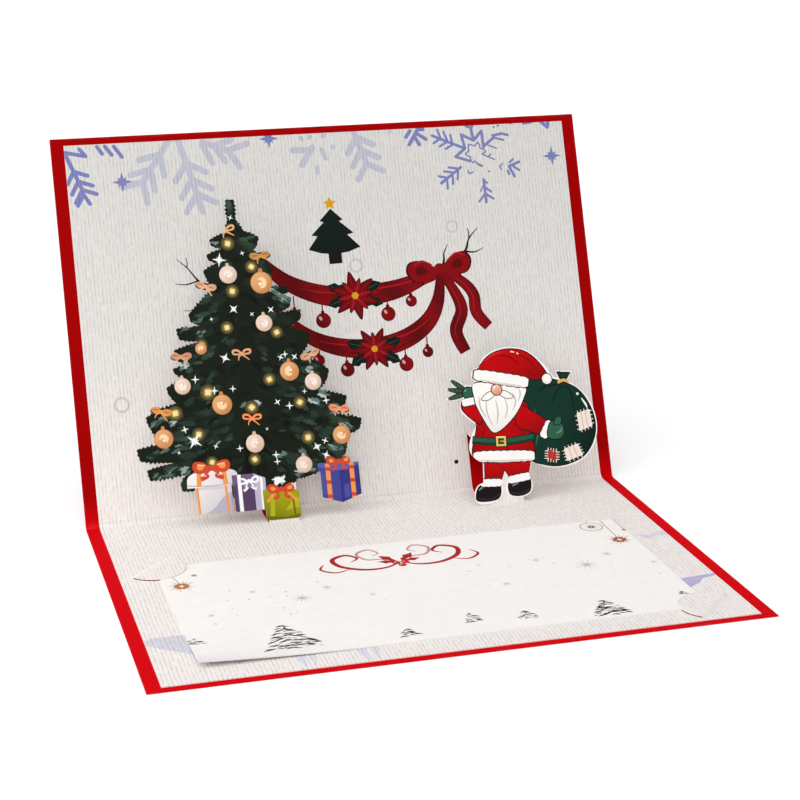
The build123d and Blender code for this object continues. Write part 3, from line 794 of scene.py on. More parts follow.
def message_print():
    """Snow-covered firs, falling snow, hanging ornaments and a red flourish."""
    on = inks("F7F3F0")
    art = Print(on)
    wash = on("E9E3EA")
    art.fill(
        lambda x, y: blend(wash, NO_INK, max((x + 88) / 46, (y + 134) / 8)),
        [(-88, -125), (-60, -126), (-36, -129), (-36, -136), (-88, -136)],
    )
    art.fill("E6DEDC", rod((-88, -134.5), (88, -134.5), 0.4))

    # Ornaments on threads in the far corners
    strokes(
        art, "8F8379", 0.3, ((81, -46), (80.6, -66)), ((86.2, -46), (86.1, -58)),
        ((-82, -58), (-80.4, -66)), ((75.6, -46), (75.5, -48.6)),
    )
    art.fill("B08F7C", disc(75.5, -52.7, 4.4, 32))
    art.fill("F6EEE7", disc(75.5, -52.7, 4.0, 32))
    star_burst(art, 75.5, -52.7, 2.7, "8A4524")
    star_burst(art, -80.4, -66.7, 5.4, "B0744A")
    star_burst(art, 80.6, -68.0, 5.4, "A0543C")
    star_burst(art, -74.6, -58.0, 1.6, "7D5A3A")
    star_burst(art, 86.1, -59.0, 1.6, "6E4A38")

    # Falling snow
    flake = on("DAD2D5")
    for x, y, radius in (
        (-58.1, -78.7, 1.8), (-43.0, -88.8, 4.2), (-32.6, -81.9, 2.2), (-19.2, -92.4, 1.6),
        (-75.3, -95.0, 1.8), (44.5, -78.6, 2.2), (60.1, -87.8, 4.6), (70.8, -79.9, 2.6), (27.3, -96.6, 2.0),
        (83.9, -92.0, 1.6),
    ):
        for turn in range(0, 180, 36):
            arm = (radius * cos(radians(turn + 10 * x)), radius * sin(radians(turn + 10 * x)))
            art.fill(
                flake,
                ribbon(
                    [(x - arm[0], y - arm[1]), (x, y), (x + arm[0], y + arm[1])], 0.1, 0.1, 0.22 * radius,
                ),
            )
        art.fill("C8BDC3", disc(x, y, 0.26 * radius, 8))
    chance = random.Random(11)
    for _ in range(52):
        x, y = chance.uniform(-82, 82), chance.uniform(-74, -103)
        if abs(x) > 16:
            art.fill(flake, disc(x, y, chance.uniform(0.25, 0.6), 7))

    # Firs in the snow
    for x, foot, height, width, seed in (
        (-54.5, -129.2, 19.4, 18.4, 1), (-84.5, -118.0, 5.4, 6.4, 2), (-16.2, -130.0, 5.8, 6.8, 3),
        (7.0, -125.0, 7.6, 6.8, 4), (25.0, -127.4, 6.4, 6.8, 5), (53.2, -132.6, 12.6, 13.6, 6),
        (82.0, -122.8, 2.4, 4.4, 7),
    ):
        snowy_fir(art, x, foot, height, width, seed)

    # A red flourish with a sprig of berries
    red, soft = on("A91A26"), on("C98F92")
    for side in (-1, 1):
        for ink, start, middle, *scroll in (
            (
                red, 0.6, 1.9, (0, -66), (6, -70), (14, -70), (21.4, -65), (23, -58), (17.6, -54.6),
                (14, -58.6), (17, -61.6),
            ),
            (
                soft, 0.4, 1.2, (0, -66), (5, -62), (11, -61), (13.4, -55), (8.6, -51.6), (5.6, -55.6),
                (8.4, -58),
            ),
            (red, 0.3, 1.1, (19, -68), (24.4, -70), (29, -66), (27, -61.6)),
        ):
            art.fill(ink, ribbon(curve([(side * x - 2, y) for x, y in scroll]), start, 0.3, middle))
        leaf = [
            (0, 0), (1.6, 1.3), (3.0, 0.9), (4.2, 1.8), (5.4, 0.9), (7.4, 0), (5.4, -0.9), (4.2, -1.6),
            (3.0, -0.8),
        ]
        art.fill(red, moved(leaf, -2 + 0.8 * side, -65.4, 52 if side > 0 else 128, 1.2))
        art.fill(red, moved(leaf, -2 + 0.8 * side, -65.8, 14 if side > 0 else 166))
    for x, y in ((-3.7, -66.8), (-0.3, -66.8), (-2.0, -69.2)):
        art.fill("C22A33", disc(x, y, 1.5, 14))
        art.fill("EBB8B6", disc(x - 0.4, y + 0.5, 0.35, 8))
    return art


# Print on the tree

def bauble(art, x, y, radius, hues):
    """A glass ball: darker rim, soft body, a bent light patch and a glint."""
    rim, body, light, glint = (art.on(hue) for hue in hues)
    art.fill(rim, moved([(-0.24, 0.86), (0.24, 0.86), (0.14, 1.3), (-0.14, 1.3)], x, y, 0, radius))
    art.fill(rim, disc(x, y, radius, 22))
    shade = lambda u, v: blend(body, rim, 0.35 + 0.5 * (u - x - v + y) / radius)
    art.fill(shade, disc(x - 0.05 * radius, y + 0.06 * radius, 0.88 * radius, 20))
    patch = curve(
        [(-0.5, 0.0), (-0.2, 0.5), (0.34, 0.42), (0.1, 0.2), (-0.08, -0.1), (0.16, -0.42), (-0.3, -0.4)],
        True, 4,
    )
    art.fill(light, moved(patch, x, y, 24 * x, radius))
    art.fill(
        glint,
        moved(curve([(0.02, 0.1), (0.3, 0.2), (0.2, -0.1), (0.08, -0.06)], True, 3), x, y, 24 * x, radius),
    )


def glow(art, x, y, radius):
    """A dim lamp: a brown halo round a small bright heart."""
    halo = lambda u, v: blend(art.on("8A7745"), art.on("3A3722"), hypot(u - x, v - y) / radius)
    art.fill(halo, disc(x, y, radius, 18))
    art.fill("957F48", disc(x, y, 0.6 * radius, 14, 0.9, 30 * x))
    art.fill("C9B06A", disc(x, y, 0.4 * radius, 12))
    art.fill("E9D795", spark(x, y, 0.52 * radius, 4, 0.5, 20 * x))


def tie(art, x, y, width, turn, hue):
    """A small bow of narrow ribbon, sketched with a few strokes."""
    ink = art.on(hue)
    dark = tuple(0.45 * c for c in ink)
    for side in (-1, 1):
        if abs(x) > 8.5:
            loop = curve(
                [
                    (side * u, v)
                    for u, v in ((0.02, 0.0), (0.2, 0.19), (0.46, 0.2), (0.5, 0.0), (0.26, -0.14))
                ],
                True, 4,
            )
            art.fill(
                lambda u, v: blend(ink, dark, abs(u - x) / width - 0.08), moved(loop, x, y, turn, width),
            )
            fold = ribbon([(side * 0.08, 0.02), (side * 0.24, 0.06), (side * 0.4, 0.02)], 0.02, 0.02, 0.07)
            art.fill(dark, moved(fold, x, y, turn, width))
        else:
            loop = curve(
                [(side * u, v) for u, v in ((0.0, 0.0), (0.2, 0.2), (0.46, 0.2), (0.42, 0.02), (0.1, 0.0))]
            )
            art.fill(ink, moved(ribbon(loop, 0.1, 0.08, 0.12), x, y, turn, width))
        tail = curve([(0.0, 0.0), (side * 0.16, -0.14), (side * (0.3 + 0.1 * side), -0.34)])
        art.fill(ink, moved(ribbon(tail, 0.12, 0.04), x, y, turn, width))
    art.fill(ink, moved(disc(0, 0.01, 0.1, 10), x, y, turn, width))


def clump(chance, x, y, length, width, turn):
    """The ragged outline of a spray of needles along a bough."""
    outline = []
    count = 2 * max(6, round(1.5 * length))
    for i in range(count):
        angle = 2 * pi * i / count
        reach = chance.uniform(0.9, 1.2) if i % 2 else chance.uniform(0.55, 0.8)
        outline.append((0.5 * length * reach * cos(angle), 0.5 * width * reach * sin(angle)))
    return moved(outline, x, y, turn)


def brushed(art):
    """Ragged clumps of needles in several greens, darkest at the trunk and lit at the tips."""
    chance = random.Random(7)
    for count, inner, outer, long, wide, hues in (
        (120, 0.0, 1.0, (6.0, 11.0), (3.0, 5.4), ("171E16", "1A2218", "141A12", "12160F")),
        (60, 0.0, 0.9, (4.0, 8.0), (1.6, 3.4), ("0B0E0A", "0D110B", "10130B")),
        (110, 0.25, 1.05, (4.0, 8.0), (1.8, 3.6), ("1E2A20", "222F25", "1B261D", "25332A")),
        (70, 0.6, 1.1, (3.0, 6.4), (1.2, 2.4), ("2A3B30", "324638", "263529")),
        (40, 0.2, 0.8, (2.4, 4.6), (0.9, 1.8), ("283A2F", "2F4136", "0C100B")),
    ):
        for _ in range(count):
            y = 16 + 104 * (1 - sqrt(chance.random()))
            half = 45 - 0.37 * y if y > 30 else 34 - 0.4 * (30 - y)
            share = inner + (outer - inner) * chance.random() ** 0.7
            side = chance.choice((-1, 1))
            turn = -34 + 26 * share + chance.uniform(-22, 22)
            shape = clump(chance, 0, 0, chance.uniform(*long), chance.uniform(*wide), turn)
            art.fill(chance.choice(hues), [(side * (share * half + u), y + v) for u, v in shape])
    # Lit needles along the outer boughs
    for tip, root in (
        ((-42, 28.6), (-27, 31.4)), ((-40, 20.4), (-24, 24.4)), ((-40, 40.0), (-29, 44.0)),
        ((41, 38.4), (30, 42.0)), ((41, 31.6), (31, 36.0)), ((-34, 60.6), (-23, 65.0)),
        ((32, 58.0), (22, 62.6)), ((-24, 74.6), (-15, 79.0)), ((22, 79.6), (13, 86.0)),
        ((36, 24.6), (24, 26.4)),
    ):
        turn = atan2(tip[1] - root[1], tip[0] - root[0]) * 180 / pi
        for _ in range(11):
            share = chance.random()
            spot = [a + (b - a) * share + chance.uniform(-1.0, 1.0) for a, b in zip(tip, root)]
            shape = clump(
                chance, *spot, chance.uniform(2.6, 4.6), chance.uniform(0.8, 1.6),
                turn + chance.uniform(-28, 28),
            )
            art.fill(chance.choice(("2A3B30", "3A5146", "4A5E5A", "1E2A20", "62756F", "324638")), shape)
    # Frosted tips
    for x, y, size in (
        (15.2, 85.4, 5.4), (18.4, 83.4, 5.0), (13.0, 87.4, 4.0), (24.0, 44.8, 5.0), (28.6, 46.6, 4.6),
        (-21.0, 76.0, 4.4), (-16.5, 72.8, 3.2), (-24.6, 61.6, 4.6), (9.4, 25.0, 3.8), (17.4, 25.6, 4.4),
        (7.6, 16.0, 4.6), (15.0, 17.4, 4.0), (-29.6, 40.6, 4.2), (-13.6, 30.8, 3.0), (1.4, 45.2, 4.2),
        (-1.8, 44.4, 4.0), (23.4, 56.4, 4.0), (-27.0, 22.4, 4.2), (34.6, 33.4, 3.4), (-23.4, 20.6, 3.4),
        (20.0, 18.6, 3.0), (-8.0, 107.6, 2.6), (-3.4, 113.6, 2.6), (29.4, 26.0, 3.2),
    ):
        side = 1 if x > 0 else -1
        for _ in range(3):
            spot = (x + chance.uniform(-1.4, 1.4), y + chance.uniform(-1.0, 1.0))
            shape = clump(
                chance, *spot, size * chance.uniform(0.6, 1.1), size * chance.uniform(0.22, 0.4),
                -side * chance.uniform(5, 55),
            )
            art.fill(chance.choice(("5C706B", "72857F", "8A9A97", "A9B5B2", "4A605A")), shape)


def gifts(art):
    """Round box, tall box, bag and a box seen on its corner."""
    on = art.on
    orange, rust = on("E5904E"), on("C4462B")

    # Round box
    body = lambda x, y: blend(on("E2DAD8"), on("BDB6C4"), (x + 22.0 + 15.0 - y) / 22)
    art.fill(body, [(-24.4, 5), (-10.6, 5), (-10.6, 17), (-24.4, 17)])
    art.fill("ACA8BC", [(-21.6, 5), (-10.6, 5), (-10.6, 13.4), (-14.4, 11.0), (-17.0, 8.0)])
    art.fill("CBC3C6", [(-24.4, 14.6), (-10.6, 14.2), (-10.6, 16.4), (-24.4, 16.4)])
    strokes(art, orange, 0.9, ((-23.3, 5.6), (-23.6, 16.4)), ((-12.4, 5.6), (-12.8, 16.4)))
    lid = lambda x, y: blend(on("E9E1DF"), on("C9C2CB"), (x + 22) / 15 + 0.04 * (18 - y))
    top = curve(
        [
            (-27.2, 16.4), (-26.7, 19.6), (-23.4, 21.3), (-17.5, 22.0), (-11.6, 21.7), (-8.3, 20.2),
            (-7.8, 16.4),
        ]
    )
    art.fill(lid, top + [(-7.8, 15.6), (-27.2, 15.6)])
    art.sweep("B8B2BF", (0.5,), [(-27.2, 16.6), (-17.5, 15.8), (-7.8, 16.6)])
    for x, drift in ((-22.8, -0.6), (-12.6, 0.5)):
        art.fill(
            orange, [(x - 0.9, 15.9), (x + 0.9, 15.9), (x + 0.9 - drift, 21.4), (x - 0.9 - drift, 21.4)],
        )
    bow(art, rust, orange, -17.5, 22.3, 14.4, 0, 0.26)
    strokes(art, "F4B981", 0.6, ((-22.4, 24.0), (-20.0, 23.6)), ((-15.0, 23.6), (-12.6, 24.0)))

    # Tall box
    art.fill("6B5575", [(-10.2, 5), (-2.0, 5), (-2.0, 19), (-10.2, 19)])
    art.fill("B7ACC4", [(-2.0, 5), (2.4, 5), (2.4, 17.0), (-2.0, 19)])
    art.fill(
        "513D5A", [(-6.6, 5), (-2.0, 5), (-2.0, 14.0), (-6.6, 13.4)],
        [(-10.2, 5), (-8.6, 5), (-8.6, 15.4), (-10.2, 14.6)],
    )
    art.fill("846F90", [(-6.0, 13.2), (-2.4, 13.8), (-2.4, 16.6), (-6.0, 16.0)])
    art.fill(
        "ECEAF3", [(-8.2, 5), (-6.8, 5), (-6.8, 19), (-8.2, 19)],
        [(0.3, 5), (1.3, 5), (1.3, 17.2), (0.3, 17.6)],
    )
    bow(art, on("E9E7F1"), on("8A82A8"), -3.9, 16.2, 8.2, 4, 0.4)

    # Bag
    cloth = lambda x, y: blend(on("74760A"), on("989614"), (y + 0.6 * (x - 8)) / 9)
    art.fill(cloth, [(1, 0), (15.4, 0), (15.4, 12.4), (1, 12.4)])
    art.fill(
        "AAA722", [(3.0, 2.2), (4.8, 2.0), (5.4, 9.8), (3.8, 10.2)],
        [(9.0, 4.0), (12.6, 8.4), (14.6, 8.8), (14.6, 5.0)],
    )
    art.fill(
        "62620A", [(1, 0), (15.4, 0), (15.4, 2.4), (9.0, 1.6), (1, 2.6)],
        [(12.2, 2.2), (13.0, 2.2), (12.6, 8.4), (12.0, 8.4)],
    )
    strokes(art, orange, 0.9, ((2.6, 8.0), (5.0, 10.6)), ((10.8, 10.6), (13.4, 7.6)))
    bow(art, rust, orange, 8.2, 12.0, 11.0, 0, 0.3)

    # Box seen on its corner
    art.fill("42438C", [(23.0, 4), (31.3, 4), (31.3, 17.6), (23.0, 19.8)])
    art.fill("35357C", [(31.3, 4), (40, 4), (40, 19.8), (31.3, 17.6)])
    art.fill("5759A2", [(23.0, 19.0), (31.3, 16.9), (40, 19.0), (40, 20.4), (23.0, 20.4)])
    art.fill(
        "4B4C96", [(24.0, 8.4), (25.4, 8.2), (25.4, 16.0), (24.0, 16.4)],
        [(32.4, 6.4), (34.6, 7.0), (34.6, 12.0), (32.4, 11.4)],
    )
    strokes(art, "292A68", 0.3, ((31.3, 5), (31.3, 17)))
    for x in (26.7, 36.0):
        art.fill(orange, [(x - 0.9, 4), (x + 0.9, 4), (x + 0.9, 20.0), (x - 0.9, 20.0)])
        for y in (7.0, 12.4, 17.4):
            art.fill(rust, [(x - 0.9, y), (x + 0.9, y - 0.2), (x + 0.9, y + 1.2), (x - 0.9, y + 1.4)])
    bow(art, rust, orange, 31.3, 20.5, 10.0, 0, 0.3)


def tree_print():
    """A decorated fir with gifts under it."""
    on = inks("F0ECE9")
    art = Print(on, on("131911"))
    brushed(art)
    # Trunk
    art.fill(
        "0A0B09", [(-5.0, 15), (-2.2, 15), (-2.6, 32), (-4.2, 33)],
        [(-0.4, 13), (0.8, 13), (0.4, 26), (-0.2, 26)],
    )
    # Leader
    for x, y, length, hue in (
        (-0.8, 119.4, 7.6, "283A2F"), (-1.2, 121.4, 4.0, "35493C"), (-0.2, 117.0, 3.6, "18221A"),
    ):
        art.fill(hue, clump(random.Random(round(y)), x, y, length, 2.6, 88))
    # Lamps
    for x, y, radius in (
        (-3.0, 106.4, 2.7), (5.2, 97.0, 2.5), (-3.0, 88.2, 2.6), (-6.4, 74.6, 2.5), (12.4, 71.4, 2.4),
        (-16.6, 68.8, 2.3), (7.8, 53.8, 2.5), (-16.0, 50.8, 3.1), (-29.0, 44.0, 2.9), (0.0, 43.8, 2.7),
        (18.6, 44.2, 2.5), (-21.0, 35.4, 2.6), (20.4, 30.6, 2.7), (-17.0, 24.6, 2.3), (-0.8, 24.2, 2.4),
    ):
        glow(art, x, y, radius)
    # Baubles
    cream = ("CFAE97", "E0C9BC", "E9DAD0", "F6EDE6")
    copper = ("BE7F4C", "D69E6C", "EACB9E", "F8E8D0")
    for hues, *balls in (
        (
            cream, (-4.0, 94.6, 3.4), (7.9, 75.3, 3.2), (-25.3, 53.9, 3.1), (24.5, 51.6, 3.2),
            (-0.1, 30.2, 3.5), (17.8, 20.6, 3.2),
        ),
        (
            copper, (8.4, 90.7, 4.2), (-17.0, 67.4, 2.2), (15.8, 56.3, 3.7), (-11.1, 45.8, 3.8),
            (-34.2, 34.9, 3.6), (33.5, 30.5, 3.5),
        ),
    ):
        for x, y, radius in balls:
            bauble(art, x, y, radius, hues)
    # Bows
    for x, y, turn, hue in (
        (-3.3, 111.2, 10, "D9A468"), (9.0, 100.9, 8, "C78B4B"), (-13.0, 90.6, -20, "DDA583"),
        (-24.9, 64.9, -6, "D29370"), (-1.8, 64.2, 0, "D99A74"), (24.6, 61.9, 24, "DDA07A"),
        (-34.3, 45.0, -20, "DF9450"), (-0.3, 39.5, -4, "F08A55"), (33.6, 40.4, -6, "E99367"),
    ):
        tie(art, x, y, 8.0 if abs(x) > 8.5 else 7.0, turn, hue)
    # Sparkles
    white = on("E4E7E3")
    for x, y, radius in (
        (-6.8, 100.4, 3.1), (-3.2, 81.4, 2.3), (3.6, 79.0, 1.2), (-8.3, 63.2, 2.4), (12.9, 61.8, 1.6),
        (14.7, 62.8, 1.6), (18.3, 61.6, 1.7), (-20.3, 56.0, 1.9), (-13.5, 51.2, 1.9), (-6.5, 51.4, 1.6),
        (10.0, 45.0, 1.7), (14.5, 43.2, 1.9), (28.8, 44.0, 1.8), (-26.0, 37.6, 1.8), (-22.8, 33.0, 3.7),
        (-15.0, 30.4, 1.3), (-6.0, 28.8, 1.6), (7.5, 25.2, 1.8), (7.7, 22.6, 1.6), (23.5, 26.8, 2.2),
        (26.8, 28.8, 1.6), (26.7, 23.4, 2.0), (2.2, 102.4, 1.2), (-1.0, 116.2, 1.4), (-12.0, 78.2, 1.0),
        (11.0, 80.2, 1.8), (-29.0, 29.2, 1.0), (5.0, 35.2, 0.9), (20.8, 48.2, 1.2),
    ):
        art.fill(white, spark(x, y, 0.9 * radius, 4, 0.26, 80 + 13 * x))
        if radius > 1.9:
            art.fill(white, spark(x, y, 0.5 * radius, 4, 0.3, 35 + 13 * x))
    # White tufts over the bag
    chance = random.Random(5)
    for hue in ("C9D2D0", "F3F3F0", "DDE3E2", "F3F3F0"):
        art.fill(
            hue,
            clump(
                chance, 8.0 + chance.uniform(-2, 2), 15.4 + chance.uniform(-0.8, 0.8), 4.4, 2.0,
                chance.uniform(-60, 60),
            ),
        )
    gifts(art)
    return art


# Print on the figure

def bumpy(start, end, width, bumps):
    """A band of fur between two points, with a rounded edge."""
    run = hypot(end[0] - start[0], end[1] - start[1])
    turn = atan2(end[1] - start[1], end[0] - start[0])
    outline = []
    for side in (-1, 1):
        for i in range(4 * bumps + 1):
            t = i / (4 * bumps)
            swell = 1 + 0.13 * abs(sin(pi * bumps * t)) - 0.35 * abs(2 * t - 1) ** 6
            outline.append((side * (2 * t - 1) * -run / 2, side * swell * width / 2))
    middle = [(a + b) / 2 for a, b in zip(start, end)]
    return moved(outline, *middle, turn * 180 / pi)


FIGURE_INK = inks("F0ECE9")
LINE = FIGURE_INK("1A1214")
RED = FIGURE_INK("B40408")
DARK_RED = FIGURE_INK("880306")
BRIGHT_RED = FIGURE_INK("CA1E20")
FUR = FIGURE_INK("F3EEE8")
FUR_SHADE = FIGURE_INK("D5CCC6")
GREEN = FIGURE_INK("113026")
DARK_GREEN = FIGURE_INK("091D16")
PINE = FIGURE_INK("2B5A45")


def outlined(art, ink, outline, edge=0.42, margin=MARGIN):
    """An area with a dark line round it."""
    art.fill(LINE, inset(outline, margin))
    art.fill(ink, inset(outline, margin + edge))


def draw_sack(art):
    """A sack tied at its neck, with sewn patches."""
    sack = [
        (10.1, 17.0), (17.1, 12.6), (25.6, 11.8), (34.5, 15.0), (39.7, 22.4), (40.3, 30.4), (37.3, 38.4),
        (31.9, 43.8), (21.1, 47.4), (11.1, 46.0), (6.1, 34.0),
    ]
    sack = curve(sack, True)
    outlined(art, lambda x, y: blend(GREEN, DARK_GREEN, (x - 24 - 0.5 * y + 14) / 16), sack)
    neck = [(26.3, 42.0), (26.7, 45.6), (25.7, 49.4), (32.3, 48.6), (30.3, 45.2), (31.3, 42.0)]
    art.fill(LINE, inset(neck, MARGIN))
    art.fill(GREEN, inset(neck, 0.85))
    art.fill(LINE, rod((28.0, 46.2), (27.4, 49.0), 0.35), rod((29.4, 46.2), (30.2, 48.4), 0.35))
    art.sweep("D9A94F", (1.1,), [(26.2, 44.6), (28.6, 45.4), (31.0, 44.4)])
    art.sweep(
        DARK_GREEN, (0.3, 0.1, 0.8), ((28.4, 43.6), (25.0, 40.6), (22.6, 36.0)),
        ((29.6, 43.4), (31.4, 39.0), (31.6, 33.0)), ((27.0, 43.8), (21.0, 43.4), (17.4, 41.4)),
    )
    for patch in (
        [(33.0, 25.0), (38.6, 26.6), (38.0, 33.2), (32.6, 32.0)],
        [(26.6, 13.8), (33.4, 15.6), (31.6, 20.2), (25.8, 18.6)],
        [(18.2, 15.2), (22.6, 14.2), (23.2, 18.0), (18.8, 19.0)],
    ):
        cloth, seam = ("E6D6CB", "C7AFA4") if patch[0][0] > 20 else ("B23A36", "8E2626")
        art.fill(cloth, patch)
        for a, b in zip(patch, patch[1:] + patch[:1]):
            for share in (0.15, 0.4, 0.65, 0.9):
                spot = blend(a, b, share)
                run = hypot(b[0] - a[0], b[1] - a[1])
                across = ((b[1] - a[1]) / run * 0.7, (a[0] - b[0]) / run * 0.7)
                ends = [tuple(s + k * c for s, c in zip(spot, across)) for k in (-0.6, 1)]
                art.fill("F1E9DF", rod(*ends, 0.28))
        for share in (0.33, 0.66):
            low = blend(patch[0], patch[1], share)
            high = blend(patch[3], patch[2], share)
            art.fill(seam, ribbon([low, high], 0.35))
    art.fill("DCE5DE", disc(33.8, 39.6, 0.55, 10))
    art.sweep("DCE5DE", (0.3, 0.25, 0.8), [(35.2, 37.8), (36.6, 35.4), (37.2, 33.8)])
    art.sweep(PINE, (0.2, 0.2, 1.0), [(14.4, 20.6), (16.4, 28.0), (15.6, 35.0)])


def draw_legs(art):
    """Legs, and boots with fur at their tops."""
    for leg in (
        [(-7.5, 17.0), (-8.3, 7.0), (-1.3, 6.6), (3.1, 17.0)],
        [(-1.9, 17.0), (2.7, 8.0), (10.5, 9.0), (12.5, 17.0)],
    ):
        outlined(art, lambda x, y: blend(DARK_RED, RED, (y - 7) / 8), leg)
    near = curve([(-9.1, 8.4), (-11.9, 5.6), (-11.7, 1.4), (-4.5, 0.9), (-1.3, 3.2), (-1.7, 8.2)], True)
    far = curve([(1.9, 8.4), (1.5, 3.0), (6.5, 1.7), (10.9, 3.8), (10.5, 9.6)], True)
    art.fill("151012", inset(near, MARGIN), inset(far, MARGIN))
    art.sweep(
        "2B2326", (0.7,), [(-11.0, 2.6), (-6.0, 2.0), (-2.2, 3.6)], [(2.2, 3.8), (6.4, 3.0), (10.2, 4.6)],
    )
    art.sweep(
        "8D868C", (0.15, 0.15, 0.6), [(-10.4, 5.8), (-9.0, 6.8), (-7.4, 7.0)],
        [(3.2, 6.2), (4.4, 6.9), (5.8, 7.0)],
    )
    for start, end in (((-9.4, 8.6), (-0.8, 8.0)), ((1.8, 8.6), (11.2, 9.6))):
        art.fill(LINE, bumpy(start, end, 3.4, 4))
        art.fill(FUR, bumpy(start, end, 2.7, 4))


def draw_coat(art):
    """A coat with a buckled belt and a fur hem."""
    coat = [
        (-7.5, 39.0), (-9.5, 29.6), (-12.1, 20.6), (-9.3, 17.2), (1.1, 15.2), (12.5, 15.2), (14.7, 18.8),
        (13.1, 29.0), (12.1, 39.0),
    ]
    outlined(art, lambda x, y: blend(RED, DARK_RED, abs(x - 1.0) / 17), curve(coat, True))
    art.sweep(
        DARK_RED, (0.2, 0.2, 0.7), ((-5.0, 30.4), (-6.6, 26.4), (-6.8, 22.4)),
        ((7.6, 31.0), (9.6, 27.2), (9.8, 22.8)), ((2.4, 24.0), (2.8, 22.6), (2.6, 20.6)),
    )
    belt = curve([(-10.9, 25.4), (-4.0, 24.2), (4.0, 23.6), (13.9, 24.4)])
    art.fill(LINE, ribbon(belt, 3.1))
    art.fill("23543F", ribbon(belt, 2.4))
    art.fill("0E2A20", ribbon([(x, y - 0.8) for x, y in belt], 0.5))
    for scale, ink in ((1.0, LINE), (0.84, art.on("E2B45C")), (0.5, art.on("1B4534"))):
        art.fill(ink, moved([(-2.4, -2.3), (2.4, -2.3), (2.4, 2.3), (-2.4, 2.3)], 0.6, 23.9, -3, scale))
    art.fill("F3D691", rod((-1.0, 25.6), (2.2, 25.5), 0.35))
    art.fill("C8973F", rod((0.4, 23.9), (2.0, 23.8), 0.5))
    art.fill(LINE, bumpy((-11.5, 18.9), (13.9, 17.1), 4.7, 9))
    art.fill(FUR, bumpy((-11.1, 18.9), (13.5, 17.1), 3.9, 9))
    art.sweep(FUR_SHADE, (0.2, 0.2, 0.9), [(-10.0, 17.6), (0.0, 16.2), (12.0, 15.8)])


def draw_resting_arm(art):
    """The arm that rests on the sack, with its mitten."""
    arm = curve([(8.6, 37.6), (14.6, 34.6), (20.8, 29.4), (18.4, 24.6), (12.0, 26.6), (7.2, 29.6)], True)
    outlined(art, lambda x, y: blend(RED, DARK_RED, (28 - y + 0.4 * x) / 9), arm, 0.42, 0)
    art.fill(LINE, bumpy((17.4, 23.4), (21.8, 30.2), 3.7, 3))
    art.fill(FUR, bumpy((17.7, 23.8), (21.5, 29.8), 3.0, 3))
    mitten = curve(
        [(21.0, 29.4), (24.6, 29.8), (27.0, 27.0), (26.0, 23.4), (22.4, 22.4), (19.4, 24.2)], True,
    )
    outlined(art, PINE, mitten, 0.42, 0)
    outlined(art, PINE, curve([(22.4, 28.4), (24.0, 31.4), (26.2, 31.0), (25.4, 28.2)], True), 0.35, 0)
    art.sweep("5C8A73", (0.15, 0.15, 0.6), [(23.2, 25.0), (25.0, 25.6), (25.8, 27.0)])


def draw_raised_arm(art):
    """A fir sprig in a mitten, and the arm that holds it up."""
    for turn in (140.0, 166.0, 192.0):
        tip = (-10.5 + 8.4 * cos(radians(turn)), 43.6 + 8.4 * sin(radians(turn)))
        art.fill(DARK_GREEN, disc((-10.5 + tip[0]) / 2, (43.6 + tip[1]) / 2, 4.3, 20, 0.26, turn))
        for share in range(3, 10):
            spot = tuple(p + (q - p) * share / 10 for p, q in zip((-10.5, 43.6), tip))
            for side in (-1, 1):
                angle = radians(turn + 38 * side)
                end = (spot[0] + 1.5 * cos(angle), spot[1] + 1.5 * sin(angle))
                art.fill("3F6B50" if share % 2 else "2C5540", ribbon([spot, end], 0.4, 0.15))
        art.fill("5A3B22", ribbon([(-10.5, 43.6), tip], 0.5, 0.15))
    arm = curve(
        [(-4.3, 35.0), (-6.9, 30.4), (-11.5, 33.6), (-14.5, 37.6), (-13.3, 41.0), (-7.9, 41.4)], True,
    )
    outlined(art, lambda x, y: blend(RED, DARK_RED, (34 - y) / 5), arm)
    outlined(art, PINE, disc(-10.5, 43.6, 3.0, 22))
    outlined(art, PINE, curve([(-9.0, 44.6), (-7.4, 46.2), (-6.9, 44.6), (-8.0, 42.8)], True), 0.3, 0)
    art.fill("5C8A73", disc(-11.6, 44.6, 0.7, 10, 0.6, 40))
    art.fill(LINE, bumpy((-13.8, 39.7), (-7.4, 40.6), 3.3, 4))
    art.fill(FUR, bumpy((-13.4, 39.8), (-7.8, 40.5), 2.6, 4))


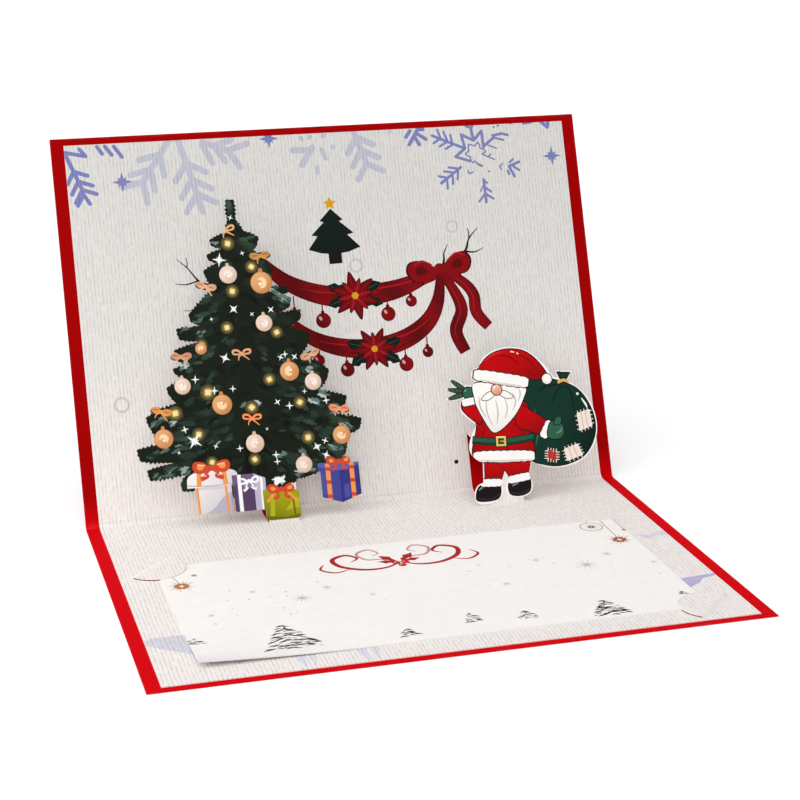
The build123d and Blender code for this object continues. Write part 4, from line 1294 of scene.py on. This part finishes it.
def draw_head(art):
    """Beard, nose, and a hat with a fur brim and a bobble."""
    beard = curve(
        [(-7.3, 48.0), (-9.1, 41.0), (-6.7, 33.6), (-1.9, 26.6), (6.1, 31.0), (11.9, 38.6), (12.3, 45.0)],
        True,
    )
    outlined(art, lambda x, y: blend(FUR, FUR_SHADE, (36 - y) / 16), beard)
    art.sweep(
        "BDB2AB", (0.15, 0.1, 0.55), ((-6.4, 42.0), (-6.2, 37.4), (-4.0, 33.0)),
        ((-3.6, 40.6), (-3.8, 35.4), (-2.0, 30.0)), ((0.2, 40.0), (0.6, 35.0), (-0.4, 30.4)),
        ((3.8, 40.4), (4.6, 36.4), (3.0, 32.2)), ((7.2, 42.0), (8.2, 38.8), (6.6, 35.0)),
        ((10.0, 43.8), (10.4, 41.4), (9.2, 38.4)),
    )
    for side in (-1, 1):
        lock = curve(
            [(1.0, 42.8), (1.0 + side * 3.4, 43.4), (1.0 + side * 6.8, 40.6), (1.0 + side * 3.6, 40.0)],
            True,
        )
        outlined(art, FUR, lock, 0.28, 0)
    pale, flushed = art.on("EBB49C"), art.on("D07F70")
    nose = disc(1.0, 43.9, 2.4, 22)
    outlined(art, lambda x, y: blend(pale, flushed, (45 - y + 0.4 * x) / 4.6), nose, 0.36, 0)
    art.fill("FBE3D6", disc(0.2, 44.9, 0.6, 10, 0.7, 30))
    hat = [
        (-5.5, 51.0), (-3.9, 55.6), (0.7, 58.8), (7.1, 60.0), (14.1, 58.6), (19.5, 54.0), (23.1, 47.4),
        (19.1, 45.6), (15.1, 46.0), (10.1, 46.0),
    ]
    outlined(art, lambda x, y: blend(RED, DARK_RED, (52 - y + 0.35 * x) / 12), curve(hat, True))
    art.sweep(
        DARK_RED, (0.2, 0.2, 0.9), ((2.6, 57.0), (7.6, 56.2), (11.6, 52.6)),
        ((10.6, 57.2), (15.0, 54.6), (17.6, 50.6)), ((13.0, 50.4), (15.6, 49.4), (17.0, 47.4)),
    )
    art.sweep(BRIGHT_RED, (0.2, 0.2, 0.8), [(-2.6, 55.4), (1.2, 57.6), (5.4, 58.4)])
    art.fill("F3C9C6", rod((8.4, 58.2), (9.6, 57.9), 0.5), rod((10.8, 57.4), (11.3, 57.1), 0.5))
    tilt = (cos(radians(-13)), sin(radians(-13)))
    brim = [[(3.3 + k * tilt[0], 48.0 + k * tilt[1]) for k in (-reach, reach)] for reach in (11.6, 11.1)]
    art.fill(LINE, bumpy(*brim[0], 4.8, 7))
    art.fill(FUR, bumpy(*brim[1], 4.1, 7))
    art.sweep(FUR_SHADE, (0.2, 0.2, 0.8), [(-5.4, 48.4), (2.6, 46.2), (11.8, 44.4)])
    outlined(art, FUR, disc(21.9, 46.4, 2.8, 22), 0.36)
    for i in range(5):
        angle = radians(200 + 40 * i)
        art.fill(FUR_SHADE, disc(21.9 + 1.6 * cos(angle), 46.4 + 1.6 * sin(angle), 0.45, 8, 0.6, 60 * i))


def figure_print():
    """A winter gnome with its hat over its eyes, a fir sprig in one hand and a tied sack."""
    art = Print(FIGURE_INK)
    art.fill(LINE, [(-6, 15), (12, 16), (20, 16), (22, 44), (12, 47), (-4, 50), (-7, 40)])
    for draw in (draw_sack, draw_legs, draw_coat, draw_resting_arm, draw_raised_arm, draw_head):
        draw(art)
    return art


# Pieces

def make_cutout(name, face, art, material):
    sheet = Sheet()
    triangles = divide(rims(name, face), art)
    sheet.thick(art, triangles, face.place, lambda u, v: face.place(u, v, -SHEET))
    sheet.piece(name, material)


def bend_tone(normal):
    """Ink of the liner's steps, flaps and folds by the way they face, with painted shade on the folds; cut
    edges are white with a painted highlight, and backs are white.
    """
    if normal.dot(OUT) > 0.3 and normal.z > 0.3:
        share = (normal.z - OUT.z) / (1 - OUT.z)
        # Painted shade darkens the faces that turn round the folds
        tone = FOLD_PAINTED_SHADE if 0.1 < share < 0.55 else 1.0
        return tuple(tone * c for c in blend(BACK_FOOT, BASE_TONE, share))
    # Cut sides: bare white paper with a painted highlight
    return CUT_SIDE_WHITE_AND_HIGHLIGHT if abs(normal.x) > 0.9 else NO_INK


def make_liner(material):
    sheet = Sheet()
    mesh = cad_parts["liner"].data
    for polygon in mesh.polygons:
        if not any(lies_in(face, mesh, polygon) for face in (BACK, BASE)):
            corners = [tuple(mesh.vertices[i].co) for i in polygon.vertices]
            sheet.add(corners, [bend_tone(polygon.normal)] * len(corners))
    # Lines across the upper panel, so that its painted shade changes in steps
    painted_shade_bands = [[(-PANEL_CROSS, y), (PANEL_CROSS, y)] for y in range(PAINTED_SHADE_STEP, PANEL_RISE, PAINTED_SHADE_STEP)]
    for face, art, lines in ((BACK, back_print(), painted_shade_bands), (BASE, base_print(), ())):
        sheet.front(art, divide(rims("liner", face), art, lines), lambda u, v: tuple(face.place(u, v)))
    sheet.piece("liner", material)


def make_message(material):
    """The message card with its curled corner, in strips fine enough for the curl."""
    depth = MESSAGE_BACK - MESSAGE_FRONT
    diagonal = hypot(2 * MESSAGE_HALF, depth)
    middle = (MESSAGE_BACK + MESSAGE_FRONT) / 2
    axis = (-depth / diagonal, -2 * MESSAGE_HALF / diagonal)
    free_corner = 2 * MESSAGE_HALF * depth / diagonal
    radius = (CURL_REACH ** 2 + CURL_LIFT ** 2) / (2 * CURL_LIFT)

    def lift(u, v):
        along = axis[0] * u + axis[1] * (v - middle) - (free_corner - CURL_REACH)
        return 0.0 if along <= 0 else radius - sqrt(radius ** 2 - along ** 2)

    creases = []
    for step in range(CURL_STRIPS):
        along = free_corner - CURL_REACH * (1 - step / CURL_STRIPS)
        spot = (axis[0] * along, middle + axis[1] * along)
        creases.append(
            [(spot[0] - k * axis[1] * CARD_CROSS, spot[1] + k * axis[0] * CARD_CROSS) for k in (-1, 1)]
        )
    corners = [(-MESSAGE_HALF, MESSAGE_FRONT), (MESSAGE_HALF, MESSAGE_FRONT)]
    corners += [(MESSAGE_HALF, MESSAGE_BACK), (-MESSAGE_HALF, MESSAGE_BACK)]
    art = message_print()
    sheet = Sheet()
    sheet.thick(
        art,
        divide([corners], art, creases),
        lambda u, v: BASE.place(u, v, lift(u, v) + MESSAGE_THICK),
        lambda u, v: BASE.place(u, v, lift(u, v)),
    )
    sheet.piece("message_card", material)


make_liner(laid_paper("laid_liner_paper", LINER_RIB, LINER_WHITE))
tree_paper = coated_paper("tree_print_paper", CUTOUT_WHITE, rough=0.5, shine=0.06)
make_cutout("tree_cutout", TREE, tree_print(), tree_paper)
figure_paper = coated_paper("figure_print_paper", CUTOUT_WHITE, rough=0.5, shine=0.06)
make_cutout("figure_cutout", FIGURE, figure_print(), figure_paper)
make_message(coated_paper("message_print_paper", MESSAGE_WHITE, rough=0.58, shine=0.12))
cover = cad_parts["cover"]
cover.data.materials.clear()
cover.data.materials.append(red_card("red_cover_card"))

# Floor, light and camera

def sees_background(tree):
    """One for rays that see the background, straight or in a mirror or glass, and nought for light."""
    rays = tree.nodes.new("ShaderNodeLightPath").outputs
    seen = rays["Is Camera Ray"]
    for name in ("Is Glossy Ray", "Is Transmission Ray"):
        either = tree.nodes.new("ShaderNodeMath")
        either.operation = "MAXIMUM"
        tree.links.new(seen, either.inputs[0])
        tree.links.new(rays[name], either.inputs[1])
        seen = either.outputs[0]
    return seen


ground = bpy.data.meshes.new("floor")
near_row = [(-FLOOR_REACH, -FLOOR_REACH, 0), (FLOOR_REACH, -FLOOR_REACH, 0)]
far_row = [(FLOOR_REACH, FLOOR_FAR, 0), (-FLOOR_REACH, FLOOR_FAR, 0)]
ground.from_pydata(near_row + far_row, [], [(0, 1, 2, 3)])
floor = bpy.data.objects.new("floor", ground)
floor.location.z = -FLOOR_DROP
bpy.context.scene.collection.objects.link(floor)
nodes = Nodes("pale_floor")
plaster = nodes.noise(3.0)
tone = nodes.tint(plaster, FLOOR_DARK, FLOOR_LIGHT)
roughness = nodes.spread(plaster, 0, 1, 0.85, 0.9)
ground.materials.append(
    nodes.finish(tone, roughness, shine=0.0, bump=plaster, depth=0.0001, strength=0.1)
)
nodes.plug(NO_INK, nodes.shader.inputs["Emission Color"])
lift = nodes.math("MULTIPLY", sees_background(nodes.tree), FLOOR_LIFT)
nodes.plug(lift, nodes.shader.inputs["Emission Strength"])


def lamp(name, kind, towards, energy, colour):
    """A light that shines from a direction or place towards the card."""
    light = bpy.data.lights.new(name, kind)
    light.energy = energy
    light.color = colour
    made = bpy.data.objects.new(name, light)
    made.location = towards
    made.rotation_mode = "QUATERNION"
    made.rotation_quaternion = Vector(towards).to_track_quat("Z", "Y")
    bpy.context.scene.collection.objects.link(made)
    return light


front = lamp("front", "SUN", towards=(-0.2, -0.97, 0.14), energy=0.54, colour=(1.0, 0.95, 0.91))
front.angle = radians(30)
top = lamp("top", "SUN", towards=(-0.3, -0.2, 0.93), energy=1.94, colour=(0.95, 1.0, 1.04))
top.angle = radians(110)
left_fill = lamp("left_fill", "AREA", towards=(-0.55, -0.08, 0.24), energy=1.08, colour=(1.0, 0.95, 0.9))
left_fill.size = 0.35

world = bpy.data.worlds.new("studio")
world.use_nodes = True
bpy.context.scene.world = world
tree = world.node_tree
sky = tree.nodes["Background"]
sky.inputs["Color"].default_value = (*SKY, 1.0)
sky.inputs["Strength"].default_value = SKY_STRENGTH
seen = tree.nodes.new("ShaderNodeBackground")
seen.inputs["Color"].default_value = (1.0, 1.0, 1.0, 1.0)
mix = tree.nodes.new("ShaderNodeMixShader")
tree.links.new(sees_background(tree), mix.inputs[0])
tree.links.new(sky.outputs[0], mix.inputs[1])
tree.links.new(seen.outputs[0], mix.inputs[2])
tree.links.new(mix.outputs[0], tree.nodes["World Output"].inputs["Surface"])

lens = bpy.data.cameras.new("photo")
lens.sensor_width = SENSOR
lens.lens = FOCAL
lens.clip_start = 0.01
camera = bpy.data.objects.new("photo", lens)
camera.location = EYE
camera.rotation_euler = [radians(angle) for angle in AIM]
bpy.context.scene.collection.objects.link(camera)
bpy.context.scene.camera = camera
bpy.context.scene.view_settings.view_transform = "Standard"
